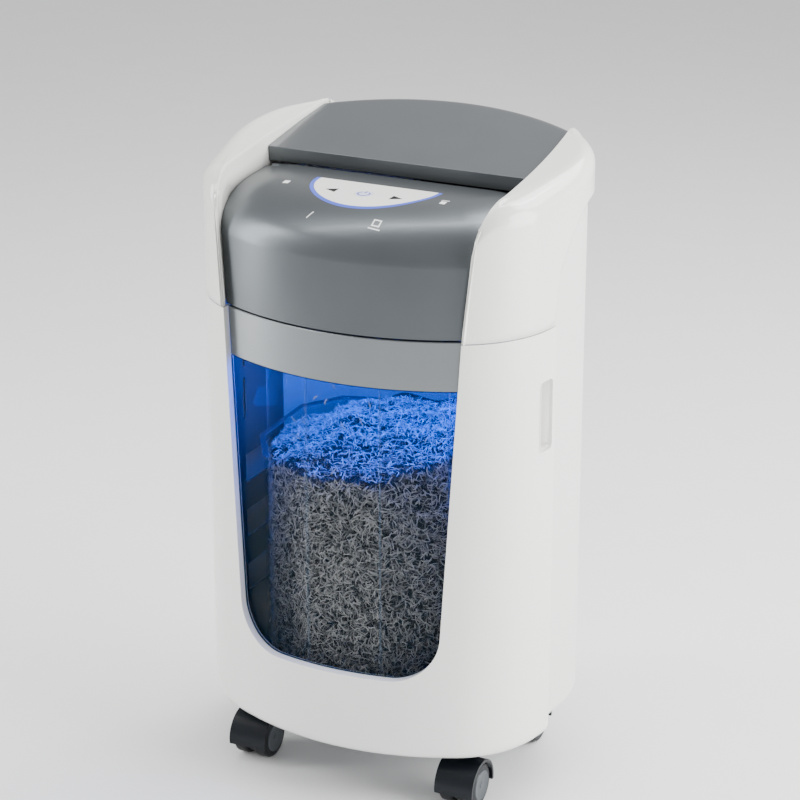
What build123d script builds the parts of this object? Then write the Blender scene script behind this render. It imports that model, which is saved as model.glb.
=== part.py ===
"""Office paper shredder on casters: fixed cabinet and head, pull-out drawer with a clear bin, cutter unit.

Row frame in millimetres: +Z up, the front faces -Y, +X is the right-hand side seen from the front,
and the origin is on the floor under the middle of the object. Every node is written to parts/.
"""
from build123d import *
import os
from math import acos, cos, pi, radians, sin, tan

os.makedirs("parts", exist_ok=True)

# ---------------------------------------------------------------- driving dimensions
# Plan of the casing, from the middle of the front to the middle of the back: tangent arcs,
# each with its radius and the heading, in degrees from +X, that it has turned to at its end.
FRONT_RADIUS, FRONT_TURN = 248.0, 27.0
CORNER_RADIUS, CORNER_TURN = 94.5, 79.5
SIDE_RADIUS, SIDE_TURN = 617.0, 84.0
REAR_CORNER_RADIUS, REAR_CORNER_TURN = 109.0, 152.5

CASE_BOTTOM = 54.5          # underside of the casing above the floor
SEAM = 447.0                # line between the drawer below and the head above
DECK = SEAM + 103.5         # flat top of the head in front of the slot
WALL = 3.0                  # moulded casing wall
SEAM_GAP = 1.0              # gap between the drawer and the head
JOIN_GAP = 0.6              # gap between neighbouring covers

SHELL_END = 109.0           # the drawer shell stops this far back from the front
SPINE_INSET = 5.6           # the rear housing stands this far inside the casing plan
SPINE_BOTTOM = 67.0
SPINE_TOP = SEAM + 96.0
FACE_INSET = 7.3            # head panel, silver band and window stand this far inside
COLLAR_DEPTH = 11.0         # depth of the frame round the window

OPENING_TOP_HALF = 113.2    # half the front opening at the seam
OPENING_LOW_HALF = 96.0     # and at the bottom of the window
WINDOW_BOTTOM = 133.0
WINDOW_CORNER = 42.0
BAND_BOTTOM = SEAM - 45.0

RIDGE_FOOT, RIDGE_FRONT = 24.0, 33.5      # side profile of the upper covers: leaning front, arc, slope
RIDGE_ARC = 40.0
RIDGE_START_Z = SEAM + 117.2
RIDGE_SLOPE = 0.12

WELL_HALF, WELL_WIDEST = 122.4, 100.0     # well between the covers: half width, and where it is widest
WELL_LEAN = 8.0 / 125.0                   # outward lean of its sides
WELL_STATIONS = (-12, 20, 45, 70, 100, 150, 220, 292)

SLOT_FRONT = 131.0          # front lip and rear wall of the paper slot, back from the front
SLOT_BACK = 140.0
SLOT_HALF = 119.0
SHEET_HALF = 105.0          # half of an A4 sheet's short side

MOON_CENTRE, MOON_RADIUS, RING_WIDTH = 104.0, 60.0, 3.6
BUTTON_ROW, ARROW_X = 74.0, 30.6
BUTTON_GAP = 0.25

SHAFT_SPACING, SHAFT_Z, NIP = 34.0, SEAM + 45.0, 136.5
SHAFT_RADIUS = 9.0
CUTTER_COUNT, CUTTER_PITCH, CUTTER_THICK = 24, 9.0, 4.1
CUTTER_ROOT, CUTTER_TIP, CUTTER_TEETH = 18.2, 19.2, 8
PLATE_X, PLATE_THICK = 112.0, 3.0

SYNC_TEETH, SYNC_MODULE = 17, 2.0
DRIVE_TEETH, IDLER_PINION_TEETH, DRIVE_MODULE = 36, 14, 1.5
IDLER_TEETH, MOTOR_TEETH, MOTOR_MODULE = 56, 14, 1.0
PRESSURE_ANGLE = radians(20.0)
BACKLASH = 0.16
IDLER_ANGLE = radians(36.0)     # direction of the idler from the rear shaft, above level
MOTOR_ANGLE = radians(-28.0)    # direction of the motor from the idler
MOTOR_RADIUS = 31.0
BORE_GAP = 0.05                 # radial running clearance of shafts and axles

BASE_INSET, BASE_LOW, BASE_HIGH = 19.5, 57.0, 63.0
BOSS_TOP, RIB_TOP = 82.0, 76.0
TRAY_LOW, TRAY_HIGH = 84.0, 86.5
TUB_LOW, TUB_FRONT_TOP, TUB_RIM, TUB_WALL = 87.0, 436.0, SEAM - 150.0, 2.0
FRAME_X = 147.0                 # inner face of the steel side frames

CASTER_X, CASTER_FRONT, CASTER_REAR = 105.0, 72.0, 208.0
WHEEL_RADIUS, WHEEL_WIDTH, WHEEL_SPREAD, CASTER_TRAIL = 20.0, 13.0, 10.5, -12.0
STEM_RADIUS, AXLE_RADIUS = 4.0, 2.5


# ---------------------------------------------------------------- shared geometry
def back_arc_radius():
    """Radius of the back arc that brings the plan home to the middle plane."""
    reach, heading = 0.0, 0.0
    for radius, turn in OUTLINE_ARCS:
        reach += radius * (sin(radians(turn)) - sin(heading))
        heading = radians(turn)
    return reach / sin(heading)


OUTLINE_ARCS = ((FRONT_RADIUS, FRONT_TURN), (CORNER_RADIUS, CORNER_TURN),
                (SIDE_RADIUS, SIDE_TURN), (REAR_CORNER_RADIUS, REAR_CORNER_TURN))
ALL_ARCS = OUTLINE_ARCS + ((back_arc_radius(), 180.0),)


def plan_depth():
    """Front-to-back size of the plan."""
    total, heading = 0.0, 0.0
    for radius, turn in ALL_ARCS:
        total += radius * (cos(heading) - cos(radians(turn)))
        heading = radians(turn)
    return total


DEPTH = plan_depth()


def y(depth):
    """Row Y of a point that lies depth behind the front of the casing."""
    return depth - DEPTH / 2


def outline(inset=0.0):
    """The casing plan as a face, drawn in all round by inset."""
    start, heading, turned = Vector(0, y(inset)), Vector(1, 0), 0.0
    arcs = []
    for radius, turn in ALL_ARCS:
        arc = JernArc(start, heading, radius - inset, turn - turned)
        arcs.append(arc)
        start, heading, turned = arc @ 1, arc % 1, turn
    half = Curve() + arcs
    return make_face(half + mirror(half, Plane.YZ))


def slab(face, low, high):
    """A face drawn on the floor plane, extruded between two heights."""
    return Pos(0, 0, low) * extrude(face, amount=high - low)


def block(x, depth, z):
    """A box from pairs of limits: x, depth behind the front, and height."""
    size = (x[1] - x[0], depth[1] - depth[0], z[1] - z[0])
    middle = ((x[0] + x[1]) / 2, y((depth[0] + depth[1]) / 2), (z[0] + z[1]) / 2)
    return Pos(*middle) * Box(*size)


def rod(radius, x, depth, z):
    """A round bar along X between two X values."""
    turned = Rot(0, 90, 0) * Cylinder(radius, x[1] - x[0])
    return Pos((x[0] + x[1]) / 2, y(depth), z) * turned


def upright(radius, x, depth, z):
    """A round bar along Z between two heights."""
    return Pos(x, y(depth), (z[0] + z[1]) / 2) * Cylinder(radius, z[1] - z[0])


def polygon(points):
    return make_face(Polyline(*points, close=True))


def across(face, half_width):
    """A profile drawn in depth and height, extruded both ways along X."""
    side_view = Plane(origin=(0, 0, 0), x_dir=(0, 1, 0), z_dir=(1, 0, 0))
    return extrude(side_view * face, amount=half_width, both=True)


def front_view(face, depth):
    """A profile drawn in X and Z, extruded backwards from in front of the object."""
    plane = Plane(origin=(0, y(-20), 0), x_dir=(1, 0, 0), z_dir=(0, -1, 0))
    return extrude(plane * face, amount=-(depth + 20))


def shell_between(outer, inner, low, high):
    """The wall between two insets of the plan."""
    return slab(outline(outer), low, high) - slab(outline(inner), low - 1, high + 1)


def mirrored(shape):
    return mirror(shape, Plane.YZ)


def save(name, *solids):
    """Writes one node; several solids stay separate in it."""
    shape = solids[0] if len(solids) == 1 else Compound(children=list(solids))
    shape.label = name
    export_step(shape, f"parts/{name}.step")


# ---------------------------------------------------------------- openings shared by neighbours
def front_opening(grow, top):
    """The opening in the drawer front: slanted sides and rounded lower corners."""
    low = WINDOW_BOTTOM - grow
    slant = (OPENING_TOP_HALF - OPENING_LOW_HALF) / (SEAM - WINDOW_BOTTOM)
    top_half = OPENING_TOP_HALF + slant * (top - SEAM) + grow
    low_half = OPENING_LOW_HALF - slant * grow + grow
    face = polygon([(-top_half, top), (-low_half, low), (low_half, low), (top_half, top)])
    corners = face.vertices().sort_by(Axis.Y)[0:2]
    return front_view(fillet(corners, WINDOW_CORNER + grow), 90)


def well_half(depth):
    """Half width of the well at the seam: it closes in quickly to the front and slowly to the rear."""
    if depth < WELL_WIDEST:
        return WELL_HALF - 2.45e-5 * (WELL_WIDEST - depth) ** 3
    return WELL_HALF - 5.5e-4 * (depth - WELL_WIDEST) ** 2


def head_well(inward, low=SEAM - 6, high=SEAM + 160):
    """The space between the two upper covers, a little wider at the top, and drawn in by inward."""
    def section(height):
        spread = WELL_LEAN * (height - SEAM) - inward
        side = Spline(*[(well_half(depth) + spread, y(depth)) for depth in WELL_STATIONS])
        front = Line(side @ 0, (-(side @ 0).X, (side @ 0).Y))
        rear = Line(side @ 1, (-(side @ 1).X, (side @ 1).Y))
        return Pos(0, 0, height) * make_face(Curve() + [side, front, rear, mirror(side, Plane.YZ)])
    return loft([section(low), section(high)], ruled=True)


def ridge_profile(drop):
    """Side profile of the upper covers, lowered and drawn in by drop."""
    front = y(RIDGE_FRONT + drop)
    arc = RIDGE_ARC - drop
    crest = RIDGE_START_Z - drop
    tail = y(DEPTH + 10)
    tail_z = crest + RIDGE_SLOPE * (tail - front - arc)
    low = SEAM - 20
    corner = make_face(Polyline((y(RIDGE_FOOT + drop), low), (front, crest - arc), (front + arc, crest),
                                (tail, tail_z), (tail, low), close=True))
    round_over = Pos(front + arc, crest - arc) * Circle(arc)
    return corner + round_over


def cover_form(inset, drop):
    """Outer or inner form of both covers before the well is taken out."""
    prism = slab(outline(inset), SEAM - 10, SEAM + 170)
    return prism & across(ridge_profile(drop), 200)


# ---------------------------------------------------------------- drawer
def drawer_parts():
    """Pull-out front: white shell with its window, silver band, clear bin and tray."""
    top = SEAM - SEAM_GAP
    low_round = 16.0
    front_half = block((-200, 200), (-10, SHELL_END), (0, SEAM + 50))

    outer = slab(outline(0), CASE_BOTTOM, top)
    outer = fillet(outer.faces().sort_by(Axis.Z)[0].edges(), low_round)
    inner = slab(outline(WALL), CASE_BOTTOM + WALL, top + 5)
    inner = fillet(inner.faces().sort_by(Axis.Z)[0].edges(), low_round - WALL)
    lip_hole = slab(outline(BASE_INSET - 2.5), CASE_BOTTOM - 5, CASE_BOTTOM + 20)
    collar = (slab(outline(1.0), CASE_BOTTOM + 20, top) - slab(outline(COLLAR_DEPTH), 0, top + 5)) \
        & front_opening(2.5, top)
    shell = (outer - inner - lip_hole + collar) & front_half
    shell -= front_opening(0, SEAM + 20)

    grip_depth, grip_z = (87.0, 104.5), (SEAM - 110, SEAM - 46)
    pocket_wall = 1.6
    for side in (1, -1):
        housing = block((151.0, 175.0), (grip_depth[0] - pocket_wall, grip_depth[1] + pocket_wall),
                        (grip_z[0] - pocket_wall, grip_z[1] + pocket_wall)) & slab(outline(1), 0, SEAM)
        pocket = block((151.0 + pocket_wall, 180.0), grip_depth, grip_z)
        pocket = fillet(pocket.edges().filter_by(Axis.X), 4.0)
        if side < 0:
            housing, pocket = mirrored(housing), mirrored(pocket)
        shell = shell + housing - pocket
    save("drawer_shell", shell)

    band_zone = front_opening(-0.4, top)
    band = shell_between(FACE_INSET, FACE_INSET + WALL, BAND_BOTTOM, top)
    shelf = shell_between(FACE_INSET, FACE_INSET + 16, top - 2.5, top)
    save("drawer_band", (band + shelf) & band_zone)

    pane = shell_between(FACE_INSET, FACE_INSET + 2.5, WINDOW_BOTTOM - 5, BAND_BOTTOM - 0.3)
    save("drawer_window", pane & front_opening(-0.3, top))

    save("bin_tub", bin_tub())

    tray_front = slab(outline(WALL + 1.2), TRAY_LOW, TRAY_HIGH) & block((-125, 125), (0, 90), (0, 200))
    tray_back = block((-125, 125), (80, 236), (TRAY_LOW, TRAY_HIGH)) & slab(outline(15), 0, 200)
    save("drawer_tray", (tray_front + tray_back) & slab(outline(WALL + 1.2), 0, 200))

    slides = []
    for side in (1, -1):
        hanger = block((133.0, 135.0), (78, 184), (TRAY_LOW - 7, TRAY_HIGH))
        runner = block((131.0, 137.0), (78, 184), (TRAY_LOW - 15, TRAY_LOW - 7))
        shelf = block((125.1, 135.0), (78, 184), (TRAY_LOW, TRAY_HIGH))
        slide = hanger + runner + shelf
        slides.append(slide if side > 0 else mirrored(slide))
    save("drawer_slides", *slides)


def tub_plan(inset):
    """Faceted plan of the clear bin, drawn in by inset."""
    right = [(36, 30), (89, 58), (121, 108), (124, 190), (100, 228), (60, 240)]
    points = [(x, y(depth)) for x, depth in right]
    points += [(-x, row_y) for x, row_y in reversed(points)]
    face = polygon(points)
    return offset(face, amount=-inset, kind=Kind.INTERSECTION) if inset else face


def bin_tub():
    """Clear bin: full height at the faceted front, lower rim behind, with a folded rim flange."""
    body = slab(tub_plan(0), TUB_LOW, TUB_FRONT_TOP)
    hollow = slab(tub_plan(TUB_WALL), TUB_LOW + TUB_WALL, TUB_FRONT_TOP + 5)
    low_back = block((-200, 200), (64, 300), (TUB_RIM, TUB_FRONT_TOP + 5))
    rim = slab(tub_plan(-4), TUB_RIM - 3, TUB_RIM) - block((-200, 200), (-10, 66), (0, 600))
    return (body - hollow - low_back) + (rim - hollow)


# ---------------------------------------------------------------- cabinet
def cabinet_parts():
    """Fixed base, rear housing, side frames, rails and head floor."""
    base = slab(outline(BASE_INSET), BASE_LOW, BASE_HIGH) & block((-200, 200), (0, 262), (0, 100))
    base += block((-3, 3), (30, 240), (BASE_HIGH - 1, RIB_TOP))
    base += block((-126, 126), (125, 131), (BASE_HIGH - 1, RIB_TOP))
    for x, depth in caster_places():
        base += upright(11.0, x, depth, (BASE_LOW, BOSS_TOP))
    for x, depth in caster_places():
        base -= upright(8.0, x, depth, (0, BOSS_TOP - 3))
    for x, depth in SCREW_PLACES:
        base -= upright(SCREW_RADIUS + BORE_GAP, x, depth, (0, 100))
    save("base_plate", base)

    sockets = []
    for x, depth in caster_places():
        ring = upright(7.9, x, depth, (BASE_LOW, BOSS_TOP - 3.2))
        sockets.append(ring - upright(STEM_RADIUS + BORE_GAP, x, depth, (0, BOSS_TOP - 5)))
    save("caster_sockets", *sockets)

    behind = block((-200, 200), (SHELL_END - 1, 400), (0, 700))
    outer = slab(outline(SPINE_INSET), SPINE_BOTTOM, SPINE_TOP)
    outer = fillet(outer.faces().sort_by(Axis.Z)[0].edges(), 10.0)
    inner = slab(outline(SPINE_INSET + WALL), SPINE_BOTTOM + WALL, SPINE_TOP + 5)
    inner = fillet(inner.faces().sort_by(Axis.Z)[0].edges(), 7.0)
    underside_hole = slab(outline(11.6), SPINE_BOTTOM - 5, SPINE_BOTTOM + 10)
    housing = (outer - inner - underside_hole) & behind
    housing -= block(MODULE_X, (230, 290), MODULE_Z)
    for z in VENT_HEIGHTS:
        for x in VENT_POSITIONS:
            housing -= block((x - 2, x + 2), (230, 290), (z - 14, z + 14))
    save("rear_housing", housing)

    frame = block((FRAME_X, FRAME_X + 1.5), (76, 194), (BASE_HIGH, SEAM))
    for low in (SEAM - 205, SEAM - 260, SEAM - 315):
        frame -= block((100, 200), (120, 176), (low, low + 28))
    for low in (SEAM - 141, SEAM - 90):
        frame -= block((100, 200), (118, 122), (low, low + 40))
    foot = block((FRAME_X - 6, FRAME_X + 1.5), (100, 190), (BASE_HIGH, BASE_HIGH + 1.5)) \
        & slab(outline(BASE_INSET), 0, 700)
    head_flange = block((FRAME_X - 9, FRAME_X), (84, 190), (SEAM - 1.5, SEAM)) + frame
    save("side_frame_right", head_flange + foot)
    save("side_frame_left", mirrored(head_flange + foot))

    rails = []
    for side in (1, -1):
        channel = block((128.5, 139.5), (74, 187), (BASE_HIGH, 80.5))
        channel -= block((130.4, 137.6), (70, 210), (BASE_HIGH + 2, 77.6))
        channel -= block((132.4, 135.6), (70, 210), (70, 90))
        rails.append(channel if side > 0 else mirrored(channel))
    save("runner_rails", *rails)

    floor = slab(outline(COLLAR_DEPTH + 0.3), SEAM + 0.2, SEAM + 4)
    floor &= block((-200, 200), (14, 262), (0, 700))
    floor -= block((-108, 108), (98, 175), (0, 700))
    save("head_chassis", floor)

    switch = block((-12, 12), (249.5, 257.5), (SEAM - 40, SEAM - 22))
    plunger = block((-2, 2), (246, 250), (SEAM - 36, SEAM - 26))
    save("drawer_switch", switch + plunger)

    strips = []
    for depth in (84, 186):
        strips.append(block((-95, 95), (depth, depth + 8), (SEAM - 3.5, SEAM + 0.1)))
    save("led_strips", *strips)

    screws = []
    for x, depth in SCREW_PLACES:
        head = upright(SCREW_RADIUS * 2, x, depth, (BASE_LOW - 1.6, BASE_LOW - 0.1))
        screws.append(head + upright(SCREW_RADIUS, x, depth, (BASE_LOW - 0.2, BASE_HIGH + 3)))
    save("case_screws", *screws)


def caster_places():
    return [(sx * CASTER_X, depth) for depth in (CASTER_FRONT, CASTER_REAR) for sx in (-1, 1)]


SCREW_RADIUS = 2.0
SCREW_PLACES = ((-60, 45), (60, 45), (-60, 225), (60, 225))
ROCKER_SWING = 16.0
MODULE_X, MODULE_Z = (-76.0, -18.0), (SEAM + 5, SEAM + 31)
VENT_HEIGHTS = (SEAM + 28, SEAM + 64)
VENT_POSITIONS = [-2 + 9 * i for i in range(9)]


def mains_parts():
    """Mains inlet and rocker switch module in the rear housing."""
    face_depth = 255.0
    body = block((MODULE_X[0] + 0.3, MODULE_X[1] - 0.3), (face_depth - 26, face_depth),
                 (MODULE_Z[0] + 0.3, MODULE_Z[1] - 0.3))
    left, low = MODULE_X[0], MODULE_Z[0]
    socket = block((left + 4, left + 28), (face_depth - 15, face_depth + 5), (low + 4.5, low + 21.5))
    socket = chamfer(socket.edges().filter_by(Axis.Y).sort_by(Axis.Z)[-2:], 4.0)
    rocker_bay = block((left + 34.4, left + 51.6), (face_depth - 20, face_depth + 5), (low + 2.5, low + 23.5))
    pins = []
    for x, z in ((left + 9, low + 11), (left + 16, low + 15), (left + 23, low + 11)):
        pins.append(block((x - 1, x + 1), (face_depth - 16, face_depth - 7), (z - 2, z + 2)))
    body = body - socket - rocker_bay
    for pin in pins:
        body += pin
    save("mains_inlet", body)

    pivot = y(face_depth - 6.0)
    middle = low + 13.0
    apex, slope = 6.5, tan(radians(ROCKER_SWING / 2))
    wedge = polygon([(-20, -20), (apex - 20 * slope, -20), (apex, 0), (apex - 20 * slope, 20), (-20, 20)])
    profile = Pos(pivot, middle) * Rot(0, 0, ROCKER_SWING / 2) * (Circle(9.6) & wedge)
    rocker = across(profile, 8.3)
    save("power_rocker", Pos(left + 43, 0, 0) * rocker)


# ---------------------------------------------------------------- head
def head_parts():
    """Upper covers, metallic front panel, sloped rear panel, control face and slot."""
    covers()
    deck_form = rounded_deck(FACE_INSET, DECK)
    deck_hollow = rounded_deck(FACE_INSET + WALL, DECK - WALL)
    skin = deck_form - deck_hollow
    well = head_well(JOIN_GAP)
    front_zone = block((-200, 200), (-10, SLOT_FRONT), (SEAM - 5, 700))
    lip = block((-SLOT_HALF, SLOT_HALF), (SLOT_FRONT - 2, SLOT_FRONT), (DECK - 8, DECK - 1))
    panel = (skin & front_zone & well) + lip

    moon = half_disc(MOON_RADIUS)
    ring_inner = half_disc(MOON_RADIUS - RING_WIDTH)
    control = half_disc(MOON_RADIUS - RING_WIDTH - 0.15)
    save("head_front_panel", panel - half_disc(MOON_RADIUS + 0.15))
    save("light_ring", skin & (moon - ring_inner))

    face = skin & control
    for x in (-ARROW_X, ARROW_X):
        face -= arrow_prism(x, BUTTON_GAP)
    face -= upright(8.0 + BUTTON_GAP, 0, BUTTON_ROW, (500, 600))
    save("control_face", face)

    for name, x in (("reverse_button", -ARROW_X), ("forward_button", ARROW_X)):
        cap = skin & arrow_prism(x, 0)
        plunger = upright(2.0, x, BUTTON_ROW, (DECK - 8.2, DECK - 2.5))
        save(name, cap + plunger)
    cap = skin & upright(8.0, 0, BUTTON_ROW, (500, 600))
    save("power_button", cap + upright(2.5, 0, BUTTON_ROW, (DECK - 8.2, DECK - 2.5)))

    board = block((-48, 48), (56, 99), (DECK - 13.6, DECK - 12))
    for x in (-ARROW_X, 0, ARROW_X):
        board += block((x - 3.5, x + 3.5), (BUTTON_ROW - 3.5, BUTTON_ROW + 3.5), (DECK - 12.1, DECK - 9.4))
    save("control_board", board)

    slope_panel(well)
    slot_guide()


def rounded_deck(inset, top):
    """Closed form under the deck whose upper edge is rounded on an ellipse, wider than it is high."""
    reach, height = 67.0 - (inset - FACE_INSET), 42.0 - (inset - FACE_INSET)
    stretch = reach / height
    low = SEAM + 1.0 if inset == FACE_INSET else SEAM - 10.0
    tall = (top - low) * stretch
    prism = slab(outline(inset), 0, tall)
    rounded = fillet(prism.faces().sort_by(Axis.Z)[-1].edges(), reach - 0.5)
    return Pos(0, 0, low) * scale(rounded, by=(1, 1, 1 / stretch))


def half_disc(radius):
    """Upright prism of the half-moon control panel."""
    disc = upright(radius, 0, MOON_CENTRE, (DECK - 30, DECK + 20))
    return disc & block((-80, 80), (0, MOON_CENTRE), (400, 700))


def arrow_prism(x, grow):
    """Triangular key that points outwards."""
    direction = 1 if x > 0 else -1
    half, length = 5.0 + 1.4 * grow, 4.6 + grow
    tip = length + 1.2 + grow
    points = [(x - direction * length, y(BUTTON_ROW - half)), (x + direction * tip, y(BUTTON_ROW)),
              (x - direction * length, y(BUTTON_ROW + half))]
    return slab(polygon(points), DECK - 30, DECK + 20)


def covers():
    """White upper side covers, each one a shell with an outer wall, a broad top and an inner wall."""
    outer = cover_form(0, 0)
    well = head_well(0)
    skin = outer - cover_form(WALL, WALL) - well
    inner_wall = (outer & head_well(-WALL)) - well
    wall_zone = block((-200, 200), (-10, 400), (DECK - 5, 700)) \
        + (block((-200, 200), (-10, 70), (SEAM, 700)) - slab(outline(COLLAR_DEPTH), 0, 700))
    both = skin + (inner_wall & wall_zone)
    both &= block((-200, 200), (-10, 300), (SEAM, 700))

    edge, rise = y(SHELL_END), SEAM + 35
    sweep = Curve() + [Line((edge, SEAM - 30), (edge, rise)),
                       ThreePointArc((edge, rise), (edge + 18, rise + 44), (edge + 62, SPINE_TOP + 1)),
                       Line((edge + 62, SPINE_TOP + 1), (y(330), SPINE_TOP + 1)),
                       Line((y(330), SPINE_TOP + 1), (y(330), SEAM - 30)),
                       Line((y(330), SEAM - 30), (edge, SEAM - 30))]
    both -= across(make_face(sweep), 250)
    both -= block((-106.0, 106.0), (150, 400), (SEAM - 50, 700))
    right = both & block((0, 200), (-10, 400), (0, 700))
    save("upper_cover_right", right)
    save("upper_cover_left", mirrored(right))


def slope_panel(well):
    """Lighter panel behind the slot: rises to the back edge, rounds over and runs down the back."""
    outer = slope_form(0, 0)
    inner = slope_form(WALL, WALL)
    zone = block((-200, 200), (SLOT_BACK, 400), (SPINE_TOP - 2, 700))
    panel = (outer - inner) & well & zone
    heights = (DECK - 3.5, slope_height(SLOT_BACK) - 1)
    front_wall = block((-200, 200), (SLOT_BACK, SLOT_BACK + 2), heights) & well
    save("rear_slope_panel", panel + front_wall)


def slope_height(depth):
    return SEAM + 115.0 + 0.2 * (depth - SLOT_BACK)


def slope_form(inset, drop):
    """Closed form of the rear panel."""
    start, end = SLOT_BACK - 10, DEPTH + 10
    side = polygon([(y(start), SEAM), (y(start), slope_height(start) - drop),
                    (y(end), slope_height(end) - drop), (y(end), SEAM)])
    return slab(outline(inset), SEAM + 60, SEAM + 170) & across(side, 200)


def slot_guide():
    """Black funnel from the deck slot down to the cutters."""
    funnel_top, step, low = DECK - 1.5, DECK - 9, SHAFT_Z + 22
    half = SLOT_HALF + 3
    upper = block((-half, half), (SLOT_FRONT + 0.2, SLOT_BACK + 4), (step, funnel_top - 2.5))
    lower = block((-110.5, 110.5), (SLOT_FRONT - 1.5, SLOT_BACK + 2.5), (low, step))
    mouth = polygon([(y(NIP - 2.9), low - 1), (y(NIP - 2.9), step - 8), (y(SLOT_FRONT + 1.2), funnel_top + 1),
                     (y(SLOT_BACK + 1.5), funnel_top + 1), (y(NIP + 2.9), step - 8), (y(NIP + 2.9), low - 1)])
    guide = upper + lower - across(mouth, SHEET_HALF + 3.5)
    guide -= block((-SLOT_HALF, SLOT_HALF), (SLOT_FRONT + 1.2, SLOT_BACK + 1.5), (step + 2, funnel_top + 5))
    save("slot_guide", guide)
    sensor = block((-3, 3), (SLOT_FRONT - 8, SLOT_FRONT - 1.8), (step - 12, step - 4))
    save("paper_sensor", sensor)


# ---------------------------------------------------------------- cutter unit
def gear(teeth, module, width, x, depth, z, phase=0.0, bore=None):
    """Spur gear on an axis along X with true involute flanks; phase turns it, in tooth pitches."""
    pitch = teeth * module / 2
    base = pitch * cos(PRESSURE_ANGLE)
    tip, root = pitch + 0.92 * module, pitch - 1.2 * module
    involute = tan(PRESSURE_ANGLE) - PRESSURE_ANGLE
    half_pitch = pi / (2 * teeth) - BACKLASH / (2 * pitch)
    points = []
    for tooth in range(teeth):
        centre = 2 * pi * (tooth + phase) / teeth
        flank = []
        for step in range(5):
            radius = max(base, root) + (tip - max(base, root)) * step / 4
            spread = acos(min(1.0, base / radius))
            flank.append((radius, half_pitch + involute - (tan(spread) - spread)))
        left = [(root, half_pitch + involute + 0.25 / root)] + flank
        for radius, angle in left:
            points.append((radius * cos(centre - angle), radius * sin(centre - angle)))
        for radius, angle in reversed(left):
            points.append((radius * cos(centre + angle), radius * sin(centre + angle)))
    face = polygon(points)
    if bore:
        face -= Circle(bore)
    side_view = Plane(origin=(x, y(depth), z), x_dir=(0, 1, 0), z_dir=(1, 0, 0))
    return extrude(side_view * face, amount=width)


# Share of a tooth's pitch and radius there: crest, relieved crest, foot of the hook, rising back.
TOOTH_SHAPE = ((0.0, CUTTER_TIP), (0.32, CUTTER_TIP - 0.3), (0.34, CUTTER_ROOT - 1.4), (0.62, CUTTER_ROOT))


def cutter_disc(x, depth, z, phase):
    """One toothed cutter disc with a bore for its shaft."""
    points = []
    for tooth in range(CUTTER_TEETH):
        start = 2 * pi * (tooth + phase) / CUTTER_TEETH
        for share, radius in TOOTH_SHAPE:
            angle = start + 2 * pi * share / CUTTER_TEETH
            points.append((radius * cos(angle), radius * sin(angle)))
    face = polygon(points) - Circle(SHAFT_RADIUS)
    side_view = Plane(origin=(x, y(depth), z), x_dir=(0, 1, 0), z_dir=(1, 0, 0))
    return extrude(side_view * face, amount=CUTTER_THICK)


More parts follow.
